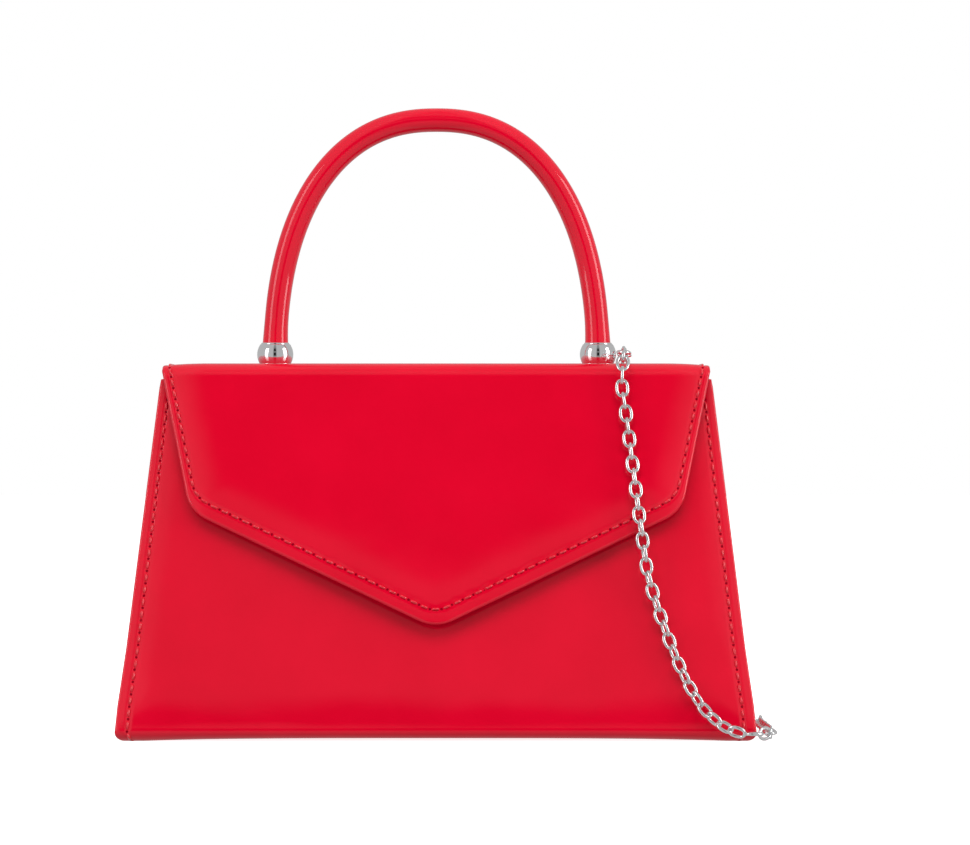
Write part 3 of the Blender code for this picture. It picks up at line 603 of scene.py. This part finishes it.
def column_shares():
    """Columns from edge to edge, close together near the edges where the seams are."""
    step, seam_zone, growth = 0.0004, 0.0055, 1.28
    middle_zone, least_share = 0.004, 0.03
    gaps = [0.0]
    while gaps[-1] < COVER_HALF_WIDTH - middle_zone:
        gaps.append(gaps[-1] + step)
        if gaps[-1] > seam_zone:
            step *= growth
    half = sorted(1.0 - np.array(gaps) / COVER_HALF_WIDTH)
    half = [share for share in half if share > least_share]
    return np.array([-share for share in reversed(half)] + [0.0] + half)


def distance_to(x, run, line):
    """How far places are from a line of (x, run) points."""
    here = np.stack([np.ravel(x), np.ravel(run)], axis=-1)
    best = np.full(len(here), 1.0)
    for a, b in zip(np.array(line)[:-1], np.array(line)[1:]):
        along = b - a
        t = np.clip((here - a) @ along / max(along @ along, 1e-12), 0.0, 1.0)
        best = np.minimum(best, np.linalg.norm(here - (a + t[:, None] * along), axis=1))
    return best.reshape(np.shape(x))


def crowned(outlines, seams, height, width):
    """Lift that swells away from the outlines and dips along seams."""

    def lift(x, run):
        distances = [distance_to(np.abs(x), run, outline) for outline in outlines]
        edge = np.clip(np.minimum.reduce(distances) / width, 0.0, 1.0)
        swell = height * (1.0 - (1.0 - edge) ** 2)
        for seam in seams:
            near = distance_to(np.abs(x), run, seam) / SEAM_DIP_WIDTH
            swell = swell - SEAM_DIP_DEPTH * np.exp(-(near**2))
        return swell

    return lift


def fillet(before, corner, after, radius, steps):
    """Points on an arc that rounds a corner, from one side to the other."""
    corner = Vector(corner)
    back, ahead = (Vector(before) - corner).normalized(), (Vector(after) - corner).normalized()
    half_angle = acos(max(-1.0, min(1.0, back.dot(ahead)))) / 2.0
    centre = corner + (back + ahead).normalized() * radius / sin(half_angle)
    first = corner + back * radius / tan(half_angle) - centre
    last = corner + ahead * radius / tan(half_angle) - centre
    return [centre + first.lerp(last, k / steps).normalized() * radius for k in range(steps + 1)]


def flap_edge(side_inset, lower_inset):
    """The flap's right half from its fold to its tip as (x, drop), drawn in from its edges."""
    top, corner, tip = Vector((COVER_HALF_WIDTH, 0.0)), Vector(FLAP_CORNER), Vector((0.0, FLAP_TIP))
    side, lower = (corner - top).normalized(), (tip - corner).normalized()
    side_in = Vector((-side.y, side.x)) * side_inset
    lower_in = Vector((-lower.y, lower.x)) * lower_inset
    a, b = top + side_in, corner + lower_in
    share = ((b - a).x * lower.y - (b - a).y * lower.x) / (side.x * lower.y - side.y * lower.x)
    corner_in = a + side * share
    tip_in = b + lower * (-b.x / lower.x)
    mirrored = Vector((-corner_in.x, corner_in.y))
    radius = FLAP_CORNER_RADIUS - min(side_inset, lower_inset)
    bend = fillet(a, corner_in, tip_in, radius, 12)
    point = fillet(corner_in, tip_in, mirrored, FLAP_TIP_RADIUS - lower_inset, 24)[:13]
    return [a, *bend, *point]


def blend_arc(corner, arrive, leave, radius, steps):
    """The rounded corner of a path, given its unrounded corner and both directions."""
    before = Vector(corner) - Vector(arrive)
    after = Vector(corner) + Vector(leave)
    return [tuple(p) for p in fillet(before, corner, after, radius, steps)]


def spaced(a, b, step):
    """Points from a to b, without b, at most a step apart."""
    a, b = Vector(a), Vector(b)
    count = max(1, round((b - a).length / step))
    return [tuple(a.lerp(b, k / count)) for k in range(count)]


def stitch_points(skin, first, last, radius):
    """Rings of points along one stitch, which dips into the skin at both ends."""
    begin, end = first.lerp(last, STITCH_GAP), first.lerp(last, 1 - STITCH_GAP)
    shares = np.linspace(0.0, 1.0, STITCH_RINGS)
    x = begin.x + (end.x - begin.x) * shares
    run = begin.y + (end.y - begin.y) * shares
    rise = radius * (0.75 - 1.7 * np.abs(2 * shares - 1) ** 4)
    middle = skin.place(x, run, rise)
    up = skin.place(x, run, rise + 0.001) - middle
    up /= np.linalg.norm(up, axis=1)[:, None]
    along = middle[-1] - middle[0]
    along /= np.linalg.norm(along)
    across = np.cross(up, along)
    points = []
    for k in range(STITCH_RINGS):
        for j in range(STITCH_SIDES):
            b = 2 * pi * j / STITCH_SIDES
            points.append(middle[k] + (up[k] * cos(b) + across[k] * sin(b)) * radius)
    return points


def hole_points(skin, spot):
    """The outline of a disc of painted shade at a needle hole."""
    points = []
    for j in range(HOLE_SIDES):
        b = 2 * pi * j / HOLE_SIDES
        x, run = spot.x + HOLE_RADIUS * cos(b), spot.y + HOLE_RADIUS * sin(b)
        points.append(skin.place(x, run, HOLE_LIFT))
    return points


def stitches(name, skin, lines, pitch, radius=STITCH_RADIUS, thread=THREAD):
    """Thread along lines of (x, run) on a skin, with a disc of painted shade for the needle hole at
    each end.
    """
    verts, faces, indices = [], [], []
    for line in lines:
        spots = evenly([Vector(p) for p in line], pitch)
        for first, last in zip(spots, spots[1:]):
            made = tube_faces(len(verts), STITCH_RINGS, STITCH_SIDES)
            made += end_faces(len(verts), STITCH_RINGS, STITCH_SIDES)
            faces += made
            indices += [0] * len(made)
            verts += stitch_points(skin, first, last, radius)
        # a disc of painted shade at each needle hole
        for spot in spots:
            faces.append(tuple(range(len(verts), len(verts) + HOLE_SIDES)))
            indices.append(1)
            verts += hole_points(skin, spot)
    return add(name, verts, faces, [thread, HOLE_SHADE], indices)


def mirror(line):
    return [(-p[0], p[1]) for p in line]


def wall_y(height, inward):
    """Y of the back wall, a distance inward from its outer face; the front's is minus this."""
    return BASE_HALF_DEPTH - height * SLOPE - inward / cos(SLOPE_ANGLE)


def half_width(height):
    return BASE_HALF_WIDTH - (BASE_HALF_WIDTH - TOP_HALF_WIDTH) * height / STRIP_TOP


# ---- body skin
def wrap_half(z):
    """Half the body skin's width, up to the start of its rolled edge."""
    corner = 0.0
    if z < BASE_CORNER_RADIUS:
        fall = BASE_CORNER_RADIUS - max(z, 0.0)
        corner = BASE_CORNER_RADIUS - sqrt(BASE_CORNER_RADIUS**2 - fall**2)
    bulge = BASE_BULGE * max(0.0, 1.0 - abs(z - 0.012) / 0.020)
    return half_width(z) - WRAP_RIM - corner + bulge


def wrap_path():
    """Down the front, under the base and up the back, and how many rows the front has."""
    bend_y = wall_y(BASE_BEND_RADIUS, BASE_BEND_RADIUS)
    bend = []
    for k in range(13):
        a = SLOPE_ANGLE - (pi / 2 + SLOPE_ANGLE) * k / 12
        bend.append((bend_y + BASE_BEND_RADIUS * cos(a), BASE_BEND_RADIUS * (1 + sin(a))))
    front = [(-y, z) for y, z in bend]
    top = WALL_TOP - WRAP_RIM
    wall = spaced((-wall_y(top, 0.0), top), front[0], WRAP_ROW_STEP)
    base = spaced(front[-1], bend[-1], WRAP_ROW_STEP)[1:]
    back = [(-y, z) for y, z in reversed(wall)]
    return [*wall, *front, *base, *reversed(bend), *back], len(wall)


def wrap_lift(skin, crown):
    """The body skin's lift: crowned walls with faint waves, and a base bowed off the floor."""

    def lift(x, run):
        z = np.interp(run, skin.run, skin.path[:, 1])
        low = np.clip(1.0 - z / 0.0045, 0.0, 1.0)
        bow = BASE_BOW * (1.0 - np.minimum(np.abs(x) / 0.1000, 1.0) ** 4)
        down = np.clip(-skin.at(skin.normal, run)[..., 1], 0.0, 1.0)
        waves = WRAP_WAVE * np.sin(x / 0.0125 + 0.8) * np.sin(run / 0.0145 + x / 0.030)
        near = np.clip((half_width(z) - np.abs(x)) / 0.020, 0.0, 1.0)
        return (crown(x, run) + waves * near) * (1.0 - low) - low * bow * down

    return lift


def make_wrap():
    path, front_rows = wrap_path()
    skin = Skin(path, None)
    half = np.array([wrap_half(z) for _, z in path])
    edge = list(zip(half, skin.run))
    outline = [(0.0, 0.0), *edge, (0.0, skin.run[-1])]
    seam = []
    for (x, run), (_, z) in zip(edge[1:-1], path[1:-1]):
        inset = EDGE_SEAM_BASE + (EDGE_SEAM_TOP - EDGE_SEAM_BASE) * z / WALL_TOP
        seam.append((x - inset, run))
    bends = [skin.run[k] for k in (front_rows, len(path) - 1 - front_rows)]
    creases = [[(0.0, run), (BASE_HALF_WIDTH, run)] for run in bends]
    skin.lift = wrap_lift(skin, crowned([outline, *creases], [seam], 0.0008, 0.0180))
    depth = np.where(skin.path[:, 1] < 0.004, 0.0006, 0.0014)
    piece = skin.build("wrap_skin", half, depth, np.full(len(half), WRAP_RIM))
    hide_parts("body_wrap")
    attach(piece, "bag")
    thread = stitches("wrap_stitches", skin, [seam, mirror(seam)], 0.0043)
    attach(thread, "bag")


# ---- cover skin
def make_front_cover():
    """The cover from the middle of the top to the flap's tip."""
    down = Vector((-sin(FLAP_LEAN), -cos(FLAP_LEAN)))
    out = Vector((down.y, -down.x))
    face = Vector(FLAP_AXIS) + out * FLAP_FACE
    above = (STRIP_TOP - face.y) / down.y
    corner = face + down * above
    fold = blend_arc(corner, (-1.0, 0.0), down, FRONT_FOLD_RADIUS, 12)
    start_drop = (Vector(fold[-1]) - face).dot(down)
    path = spaced((0.0, STRIP_TOP), fold[0], 0.0020) + fold
    edge = [Vector(p) for p in flap_edge(FLAP_RIM, FLAP_RIM)]
    last = edge[-1].y
    drops = list(np.arange(start_drop + COVER_ROW_STEP, last - 0.0065, COVER_ROW_STEP))
    drops += [last - TIP_ROW_GROWTH * k * k for k in reversed(range(TIP_ROWS))]
    path += [tuple(face + down * d) for d in drops]
    skin = Skin(path, None)
    shift = skin.run[-1] - last
    edge_x = np.array([p.x for p in edge])
    edge_run = np.array([p.y for p in edge]) + shift
    fold_half = COVER_HALF_WIDTH - FLAP_RIM
    half = np.where(skin.run < edge_run[0], fold_half, np.interp(skin.run, edge_run, edge_x))
    half = np.maximum(half, LEAST_HALF_WIDTH)
    outline = [(fold_half, -0.05), *zip(edge_x, edge_run)]
    seam = [(p.x, p.y + shift) for p in flap_edge(SEAM_SIDE, SEAM_LOWER)]
    seam = [(seam[0][0], 0.0), *seam]
    skin.lift = crowned([outline], [seam], *COVER_CROWN)
    share = np.clip((skin.run - 0.012) / 0.010, 0.0, 1.0)
    rim = STRIP_RIM + (FLAP_RIM - STRIP_RIM) * share
    depth = np.full(len(rim), COVER_DEPTH)
    piece = skin.build("cover_front", half, depth, rim, open_start=True)
    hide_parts("top_strip", "flap_panel")
    run_over = seam + mirror(seam)[-2::-1]
    thread = stitches("cover_front_stitches", skin, [run_over], 0.0040)
    for thing in (piece, thread):
        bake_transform(thing)


def make_back_cover():
    """The cover from its hem on the back to the middle of the top."""
    bottom_z = HEM_BOTTOM + STRIP_RIM
    hem = Vector((wall_y(bottom_z, -HEM_STAND_OFF), bottom_z))
    up = Vector((-sin(SLOPE_ANGLE), cos(SLOPE_ANGLE)))
    corner = hem + up * ((STRIP_TOP - hem.y) / up.y)
    fold = blend_arc(corner, up, (-1.0, 0.0), BACK_FOLD_RADIUS, 12)
    path = spaced(hem, fold[0], 0.0010) + fold
    path += spaced(fold[-1], (0.0, STRIP_TOP), 0.0020)[1:] + [(0.0, STRIP_TOP)]
    skin = Skin(path, None)
    fold_half = COVER_HALF_WIDTH - FLAP_RIM
    near = np.clip(HEM_CORNER_RADIUS - skin.run, 0.0, HEM_CORNER_RADIUS)
    half = fold_half - (HEM_CORNER_RADIUS - np.sqrt(HEM_CORNER_RADIUS**2 - near**2))
    outline = [(0.0, 0.0), *zip(half, skin.run), (half[-1], skin.run[-1] + 0.05)]
    inset = SEAM_SIDE - FLAP_RIM
    bottom = [(0.0, inset)]
    turn = HEM_CORNER_RADIUS - inset
    centre_x = fold_half - HEM_CORNER_RADIUS
    for k in range(9):
        a = -pi / 2 + pi / 2 * k / 8
        bottom.append((centre_x + turn * cos(a), HEM_CORNER_RADIUS + turn * sin(a)))
    seam = [*bottom, (fold_half - inset, skin.run[-1])]
    crown = crowned([outline], [seam], *COVER_CROWN)
    skin.lift = lambda x, run: crown(x, run) * np.clip((run - 0.002) / 0.012, 0.0, 1.0)
    rim = np.full(len(half), STRIP_RIM)
    depth = np.full(len(rim), COVER_DEPTH)
    piece = skin.build("cover_back", half, depth, rim, open_end=True)
    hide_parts("back_hem")
    thread = stitches("cover_back_stitches", skin, [mirror(seam)[:0:-1] + seam], 0.0040)
    for thing in (piece, thread):
        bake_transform(thing)


# ---- gussets, tabs and lining
def gusset_fold(height):
    """How deep the side panel's crease is; it dies away into the base."""
    return (0.0030 + 0.0055 * height / WALL_TOP) * min(1.0, height / 0.0100)


def cut_corners(points, times, closed=False):
    """A line with its corners cut again and again, until it bends softly."""
    points = [np.array(p, float) for p in points]
    for _ in range(times):
        ring = points + points[:1] if closed else points
        cut = [] if closed else [points[0]]
        for a, b in zip(ring, ring[1:]):
            cut += [a * 0.75 + b * 0.25, a * 0.25 + b * 0.75]
        points = cut if closed else cut + [points[-1]]
    return points


def thicken(thing, thickness, offset):
    solid = thing.modifiers.new("thickness", "SOLIDIFY")
    solid.thickness = thickness
    solid.offset = offset
    solid.use_even_offset = True


def make_gusset(name, side):
    """A side panel with a soft crease that folds inward, and a flange on each wall."""
    verts, faces, rows = [], [], 56
    low, high = GUSSET_BOTTOM, WALL_TOP - 0.0010
    for k in range(rows):
        z = low + (high - low) * k / (rows - 1)
        outer = half_width(z) - GUSSET_EDGE_INSET
        wall = outer - GUSSET_FLANGE
        y = wall_y(z, GUSSET_WALL_INSET) - max(0.0, BASE_BEND_RADIUS - z)
        crease = wall - gusset_fold(z)
        corners = [(outer, -y), (wall, -y), (crease, 0.0), (wall, y), (outer, y)]
        line = cut_corners(corners, 3)
        for x, across in line:
            soft = GUSSET_RIPPLE * sin(z / 0.0046 + 1.3 * side) * (1.0 - (across / y) ** 2)
            verts.append((side * (x + soft), across, z))
    width = len(verts) // rows
    for k in range(rows - 1):
        for i in range(width - 1):
            a, b = k * width + i, (k + 1) * width + i
            faces.append((a, a + 1, b + 1, b) if side > 0 else (a, b, b + 1, a + 1))
    mesh = bpy.data.meshes.new(name)
    mesh.from_pydata(verts, [], faces)
    mesh.materials.append(PATENT)
    mesh.shade_smooth()
    panel = put(name, mesh)
    thicken(panel, GUSSET_THICKNESS, 1.0)
    return panel


def make_lining():
    """An open cloth pouch with slack folds, inside the boards and the gussets' creases."""
    verts, rows = [], 44
    for k in range(rows):
        z = LINING_INWARD + (WALL_TOP - 0.0015 - LINING_INWARD) * k / (rows - 1)
        y = wall_y(z, LINING_INWARD)
        wall = half_width(z) - GUSSET_EDGE_INSET - GUSSET_FLANGE - LINING_GAP
        crease = wall - gusset_fold(z)
        right = [(wall, -y), (crease, 0.0), (wall, y)]
        left = [(-x, across) for x, across in reversed(right)]
        top = [(wall * (1 - 2 * i / 24), y) for i in range(1, 24)]
        bottom = [(wall * (2 * i / 24 - 1), -y) for i in range(1, 24)]
        line = cut_corners([*right, *top, *left, *bottom], 1, closed=True)
        for x, across in line:
            slack = LINING_SLACK * (1.0 + sin(x / 0.0065 + z / 0.011)) * (1.0 - across / y) / 2.0
            slack *= min(1.0, (wall - min(abs(x), wall)) / 0.010)
            verts.append((x, across + slack, z))
    width = len(verts) // rows
    faces = [*tube_faces(0, rows, width), tuple(range(width))]
    pouch = add("lining_pouch", verts, faces, [LINING])
    thicken(pouch, LINING_THICKNESS, -1.0)
    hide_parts("lining")
    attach(pouch, "bag")


def lining_panel(name, path, half, node, body, seam_inset, crown):
    """A stitched cloth panel along a path; half is its half width at each row."""
    skin = Skin(path, None)
    half = np.array(half)
    outline = [(0.0, 0.0), *zip(half, skin.run), (0.0, skin.run[-1])]
    near = [(max(x - seam_inset, 0.0), run) for x, run in zip(half, skin.run)]
    seam = [(x, run) for x, run in near if seam_inset < run < skin.run[-1] - seam_inset]
    skin.lift = crowned([outline], [seam], crown, 0.0120)
    depth, rim = np.full(len(half), LINING_PANEL_DEPTH), np.full(len(half), LINING_RIM)
    piece = skin.build(name, half, depth, rim, material=LINING)
    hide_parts(node)
    ends = [(0.0, seam[0][1]), *seam, (0.0, seam[-1][1])]
    lines = [ends, mirror(ends)]
    thread = stitches(f"{name}_stitches", skin, lines, 0.0034, FINE_STITCH_RADIUS, THREAD_BLACK)
    for thing in (piece, thread):
        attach(thing, body)


def make_pocket():
    low, high = POCKET_HEIGHTS
    path = spaced((wall_y(high, POCKET_INWARD), high), (wall_y(low, POCKET_INWARD), low), 0.0020)
    half = [POCKET_HALF_WIDTH - LINING_RIM] * len(path)
    lining_panel("pocket_panel", path, half, "slip_pocket", "bag", 0.0025, 0.0012)


def make_lid_lining():
    front, back = LID_LINING_REACH[0] + LINING_RIM, LID_LINING_REACH[1] - LINING_RIM
    path = spaced((front, LID_LINING_HEIGHT), (back, LID_LINING_HEIGHT), 0.0015)
    half = [LID_LINING_HALF_WIDTH - LINING_RIM] * len(path)
    lining_panel("lid_lining_cloth", path, half, "lid_lining", "lid", 0.0022, 0.0001)


def make_flap_lining():
    down = Vector((-sin(FLAP_LEAN), -cos(FLAP_LEAN)))
    face = Vector(FLAP_AXIS) - Vector((down.y, -down.x)) * FLAP_LINING_INWARD
    edge = [Vector(p) for p in flap_edge(FLAP_LINING_INSET, FLAP_LINING_INSET)]
    drops = [edge[-1].y - TIP_ROW_GROWTH * k * k for k in range(TIP_ROWS)]
    drops += list(np.arange(drops[-1] - 0.0015, FLAP_LINING_TOP, -0.0015))
    half = np.interp(drops, [p.y for p in edge], [p.x for p in edge])
    half = np.maximum(half, LEAST_HALF_WIDTH)
    path = [tuple(face + down * d) for d in drops]
    lining_panel("flap_lining_cloth", path, half, "flap_lining", "flap", 0.0030, 0.0001)


def make_ring_tab(name, side):
    """A strap folded round the ring's bar, its ends stitched to the back."""
    bar_y, bar_z = TAB_BAR
    line = [(0.0025, z) for z in np.linspace(0.1225, 0.1047, 12)]
    for a in np.radians(range(150, 391, 12)):
        line.append((bar_y + TAB_LOOP_RADIUS * cos(a), bar_z + TAB_LOOP_RADIUS * sin(a)))
    line += [(0.0038, z) for z in np.linspace(0.1052, 0.1225, 12)]
    turn = Matrix.Rotation(SLOPE_ANGLE, 2)
    path = [tuple(turn @ Vector(p) + Vector((BASE_HALF_DEPTH, 0.0))) for p in line]
    skin = Skin(path, lambda x, run: np.full(np.shape(x), TAB_RIM))
    half, depth, rim = (np.full(len(path), size) for size in (TAB_HALF_WIDTH, 0.0010, TAB_RIM))
    piece = skin.build(name, half, depth, rim)
    low, high = skin.run[-1] - 0.0100, skin.run[-1] - 0.0020
    box = [(-0.0030, low), (0.0030, low), (0.0030, high), (-0.0030, high), (-0.0030, low)]
    thread = stitches(f"{name}_stitches", skin, [box], 0.0020, FINE_STITCH_RADIUS)
    for thing in (piece, thread):
        thing.data.transform(Matrix.Translation((side * RING_X, 0.0, 0.0)))
        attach(thing, "bag")
    return piece


def make_sides_and_tabs():
    for name, side in (("left", -1), ("right", 1)):
        panel = make_gusset(f"gusset_panel_{name}", side)
        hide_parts(f"gusset_{name}")
        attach(panel, "bag")
        tab = make_ring_tab(f"ring_strap_{name}", side)
        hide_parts(f"ring_tab_{name}")


make_wrap()
make_front_cover()
make_back_cover()
make_sides_and_tabs()
make_lining()
make_pocket()
make_lid_lining()
make_flap_lining()


# ---- handle and its feet
def lathe(name, profile, segments, location):
    """A chrome turning from a profile of (radius, height)."""
    verts = []
    for radius, z in profile:
        for k in range(segments):
            a = 2 * pi * k / segments
            x, y = location[0] + radius * cos(a), location[1] + radius * sin(a)
            verts.append((x, y, location[2] + z))
    faces = tube_faces(0, len(profile), segments) + end_faces(0, len(profile), segments)
    return add(name, verts, faces, [CHROME])


def handle_line(foot, step):
    """The handle's centre line, from the right foot over to the left one."""
    dense, parts = [], 480
    for i in range(parts + 1):
        turn = pi * i / parts
        across = signed_power(cos(turn), 2 / HANDLE_POWER)
        height = STRIP_TOP + HANDLE_RISE * sin(turn) ** (2 / HANDLE_POWER)
        if height > foot:
            dense.append(Vector((HANDLE_HALF_SPAN * across, 0.0, height)))
    ends = [Vector((side * dense[0].x, 0.0, foot)) for side in (1, -1)]
    return evenly([ends[0], *dense, ends[1]], step)


def make_handle_skin(line):
    """The patent tube, flared at its ends, with a groove where its seam is."""
    front = Vector((0, 1, 0))
    run, total = 0.0, length_of(line)
    verts = []
    for k, point in enumerate(line):
        if k:
            run += (point - line[k - 1]).length
        tangent = (line[min(k + 1, len(line) - 1)] - line[max(k - 1, 0)]).normalized()
        across = tangent.cross(front)
        end = min(run, total - run)
        radius = HANDLE_RADIUS + HANDLE_FLARE * max(0.0, 1.0 - end / FLARE_REACH) ** 2
        for j in range(HANDLE_SIDES):
            a = 2 * pi * j / HANDLE_SIDES
            groove = HANDLE_GROOVE * max(0.0, -cos(a)) ** 24
            verts.append(point + (across * cos(a) + front * sin(a)) * (radius - groove))
    rows = len(line)
    faces = tube_faces(0, rows, HANDLE_SIDES) + end_faces(0, rows, HANDLE_SIDES)
    skin = add("handle_skin", verts, faces, [PATENT])
    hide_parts("handle_cover")
    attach(skin, "lid")


def foot_profile(seat):
    """A ball foot cut flat at both ends, with a seat for the handle in its top."""
    half = BEAD_HEIGHT / 2
    end_angle = acos(half / BEAD_RADIUS)
    floor, lip = BEAD_HEIGHT - 0.0010, BEAD_HEIGHT - 0.0002
    profile = [(0.0030, floor), (seat, floor), (seat, lip), (seat + 0.0002, BEAD_HEIGHT)]
    for i in range(17):
        a = end_angle + (pi - 2 * end_angle) * i / 16
        profile.append((BEAD_RADIUS * sin(a), half + BEAD_RADIUS * cos(a)))
    return [*profile, (0.0048, 0.0), (0.0018, 0.0)]


def rim_profile(seat):
    """A thin ring round the handle's end."""
    inner = seat - 0.0006
    profile = [(inner, -RIM_WIRE_RADIUS)]
    for i in range(13):
        a = -pi / 2 + pi * i / 12
        profile.append((seat - 0.0003 + RIM_WIRE_RADIUS * cos(a), RIM_WIRE_RADIUS * sin(a)))
    return [*profile, (inner, RIM_WIRE_RADIUS)]


def make_handle():
    foot = STRIP_TOP + BEAD_HEIGHT - HANDLE_SUNK
    line = handle_line(foot, 0.0015)
    make_handle_skin(line)
    seat = HANDLE_RADIUS + HANDLE_FLARE + 0.0001
    for name, side in (("left", -1), ("right", 1)):
        x = side * line[0].x
        bead = lathe(f"ball_foot_{name}", foot_profile(seat), 56, (x, 0.0, STRIP_TOP + 0.0003))
        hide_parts(f"bead_{name}")
        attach(bead, "lid")
        rim = lathe(f"handle_rim_{name}", rim_profile(seat), 48, (x, 0.0, foot + 0.0010))
        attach(rim, "lid")


make_handle()

# ---- finishes for the kept nodes
FINISHES = {
    "patent_red": PATENT,
    "board": BOARD,
    "lining_black": LINING,
    "chrome": CHROME,
    "zinc_plate": PLATE,
    "magnet": MAGNET,
    "core": CORE,
}
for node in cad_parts.values():
    for slot in node.material_slots:
        name = slot.material.name if slot.material else ""
        matches = [made for key, made in FINISHES.items() if name.startswith(key)]
        slot.material = matches[0] if matches else PATENT

# ---- floor, light and view
floor_mesh = bpy.data.meshes.new("floor")
floor_mesh.from_pydata([(-6, -6, 0), (6, -6, 0), (6, 6, 0), (-6, 6, 0)], [], [(0, 1, 2, 3)])
floor = put("floor", floor_mesh)
paper = Shader("floor_paper", 0.9, Specular_IOR_Level=0.0, Emission_Strength=0.85)
paper.colour(paper.noise(3.0), [(0.3, (0.86, 0.86, 0.86)), (0.7, (0.90, 0.90, 0.90))])
paper.bsdf.inputs["Emission Color"].default_value = (1.0, 1.0, 1.0, 1.0)
floor_mesh.materials.append(paper.material)
floor.visible_glossy = False
floor.visible_diffuse = False


def softbox(name, place, aim, width, height, power, glossy=True):
    light = bpy.data.lights.new(name, "AREA")
    light.shape = "RECTANGLE"
    light.size = width
    light.size_y = height
    light.energy = power
    lamp = put(name, light)
    lamp.location = place
    lamp.visible_glossy = glossy
    lamp.rotation_euler = (Vector(aim) - Vector(place)).to_track_quat("-Z", "Y").to_euler()


softbox("key", (0.0, -1.3, 1.75), (0.0, 0.0, 0.08), 2.0, 1.0, 23.0, glossy=False)
softbox("strip_left", (-1.5, -1.0, 0.55), (0.0, 0.0, 0.10), 0.60, 1.4, 7.0)
softbox("strip_right", (1.6, -0.6, 0.55), (0.0, 0.0, 0.10), 0.60, 1.4, 11.0)


def studio_world():
    """Soft light from the sides, above and below, a dark gap ahead, and white for the camera."""
    world = bpy.data.worlds.new("studio")
    world.use_nodes = True
    bpy.context.scene.world = world
    tree = world.node_tree
    background = tree.nodes["Background"]

    def math(operation, a, b):
        made = tree.nodes.new("ShaderNodeMath")
        made.operation = operation
        for socket, value in zip(made.inputs, (a, b)):
            if isinstance(value, float):
                socket.default_value = value
            elif value is not None:
                tree.links.new(value, socket)
        return made.outputs[0]

    def spread(value, low, high, to_low, to_high):
        made = tree.nodes.new("ShaderNodeMapRange")
        made.interpolation_type = "SMOOTHSTEP"
        tree.links.new(value, made.inputs["Value"])
        ends = {"From Min": low, "From Max": high, "To Min": to_low, "To Max": to_high}
        for socket, number in ends.items():
            made.inputs[socket].default_value = number
        return made.outputs["Result"]

    place = tree.nodes.new("ShaderNodeTexCoord").outputs["Generated"]
    split = tree.nodes.new("ShaderNodeSeparateXYZ")
    tree.links.new(place, split.inputs[0])
    ahead = math("MAXIMUM", math("MULTIPLY", split.outputs["Y"], -1.0), 0.001)
    aside = math("DIVIDE", math("ABSOLUTE", split.outputs["X"], None), ahead)
    height = split.outputs["Z"]
    sides = spread(aside, 0.07, 0.25, 0.0, 0.50)
    above = spread(height, 0.50, 0.75, 0.0, 0.26)
    band_top = spread(height, 0.40, 0.33, 0.0, 0.22)
    band_base = spread(height, 0.17, 0.25, 0.0, 1.0)
    band = math("MULTIPLY", band_top, band_base)
    under = spread(height, -0.02, -0.30, 0.0, 0.36)
    around = math("MAXIMUM", math("MAXIMUM", sides, above), math("MAXIMUM", band, under))
    eye = tree.nodes.new("ShaderNodeLightPath").outputs["Is Camera Ray"]
    tree.links.new(math("MAXIMUM", around, eye), background.inputs["Strength"])
    background.inputs["Color"].default_value = (1.0, 1.0, 1.0, 1.0)


studio_world()
bpy.context.scene.view_settings.view_transform = "Standard"
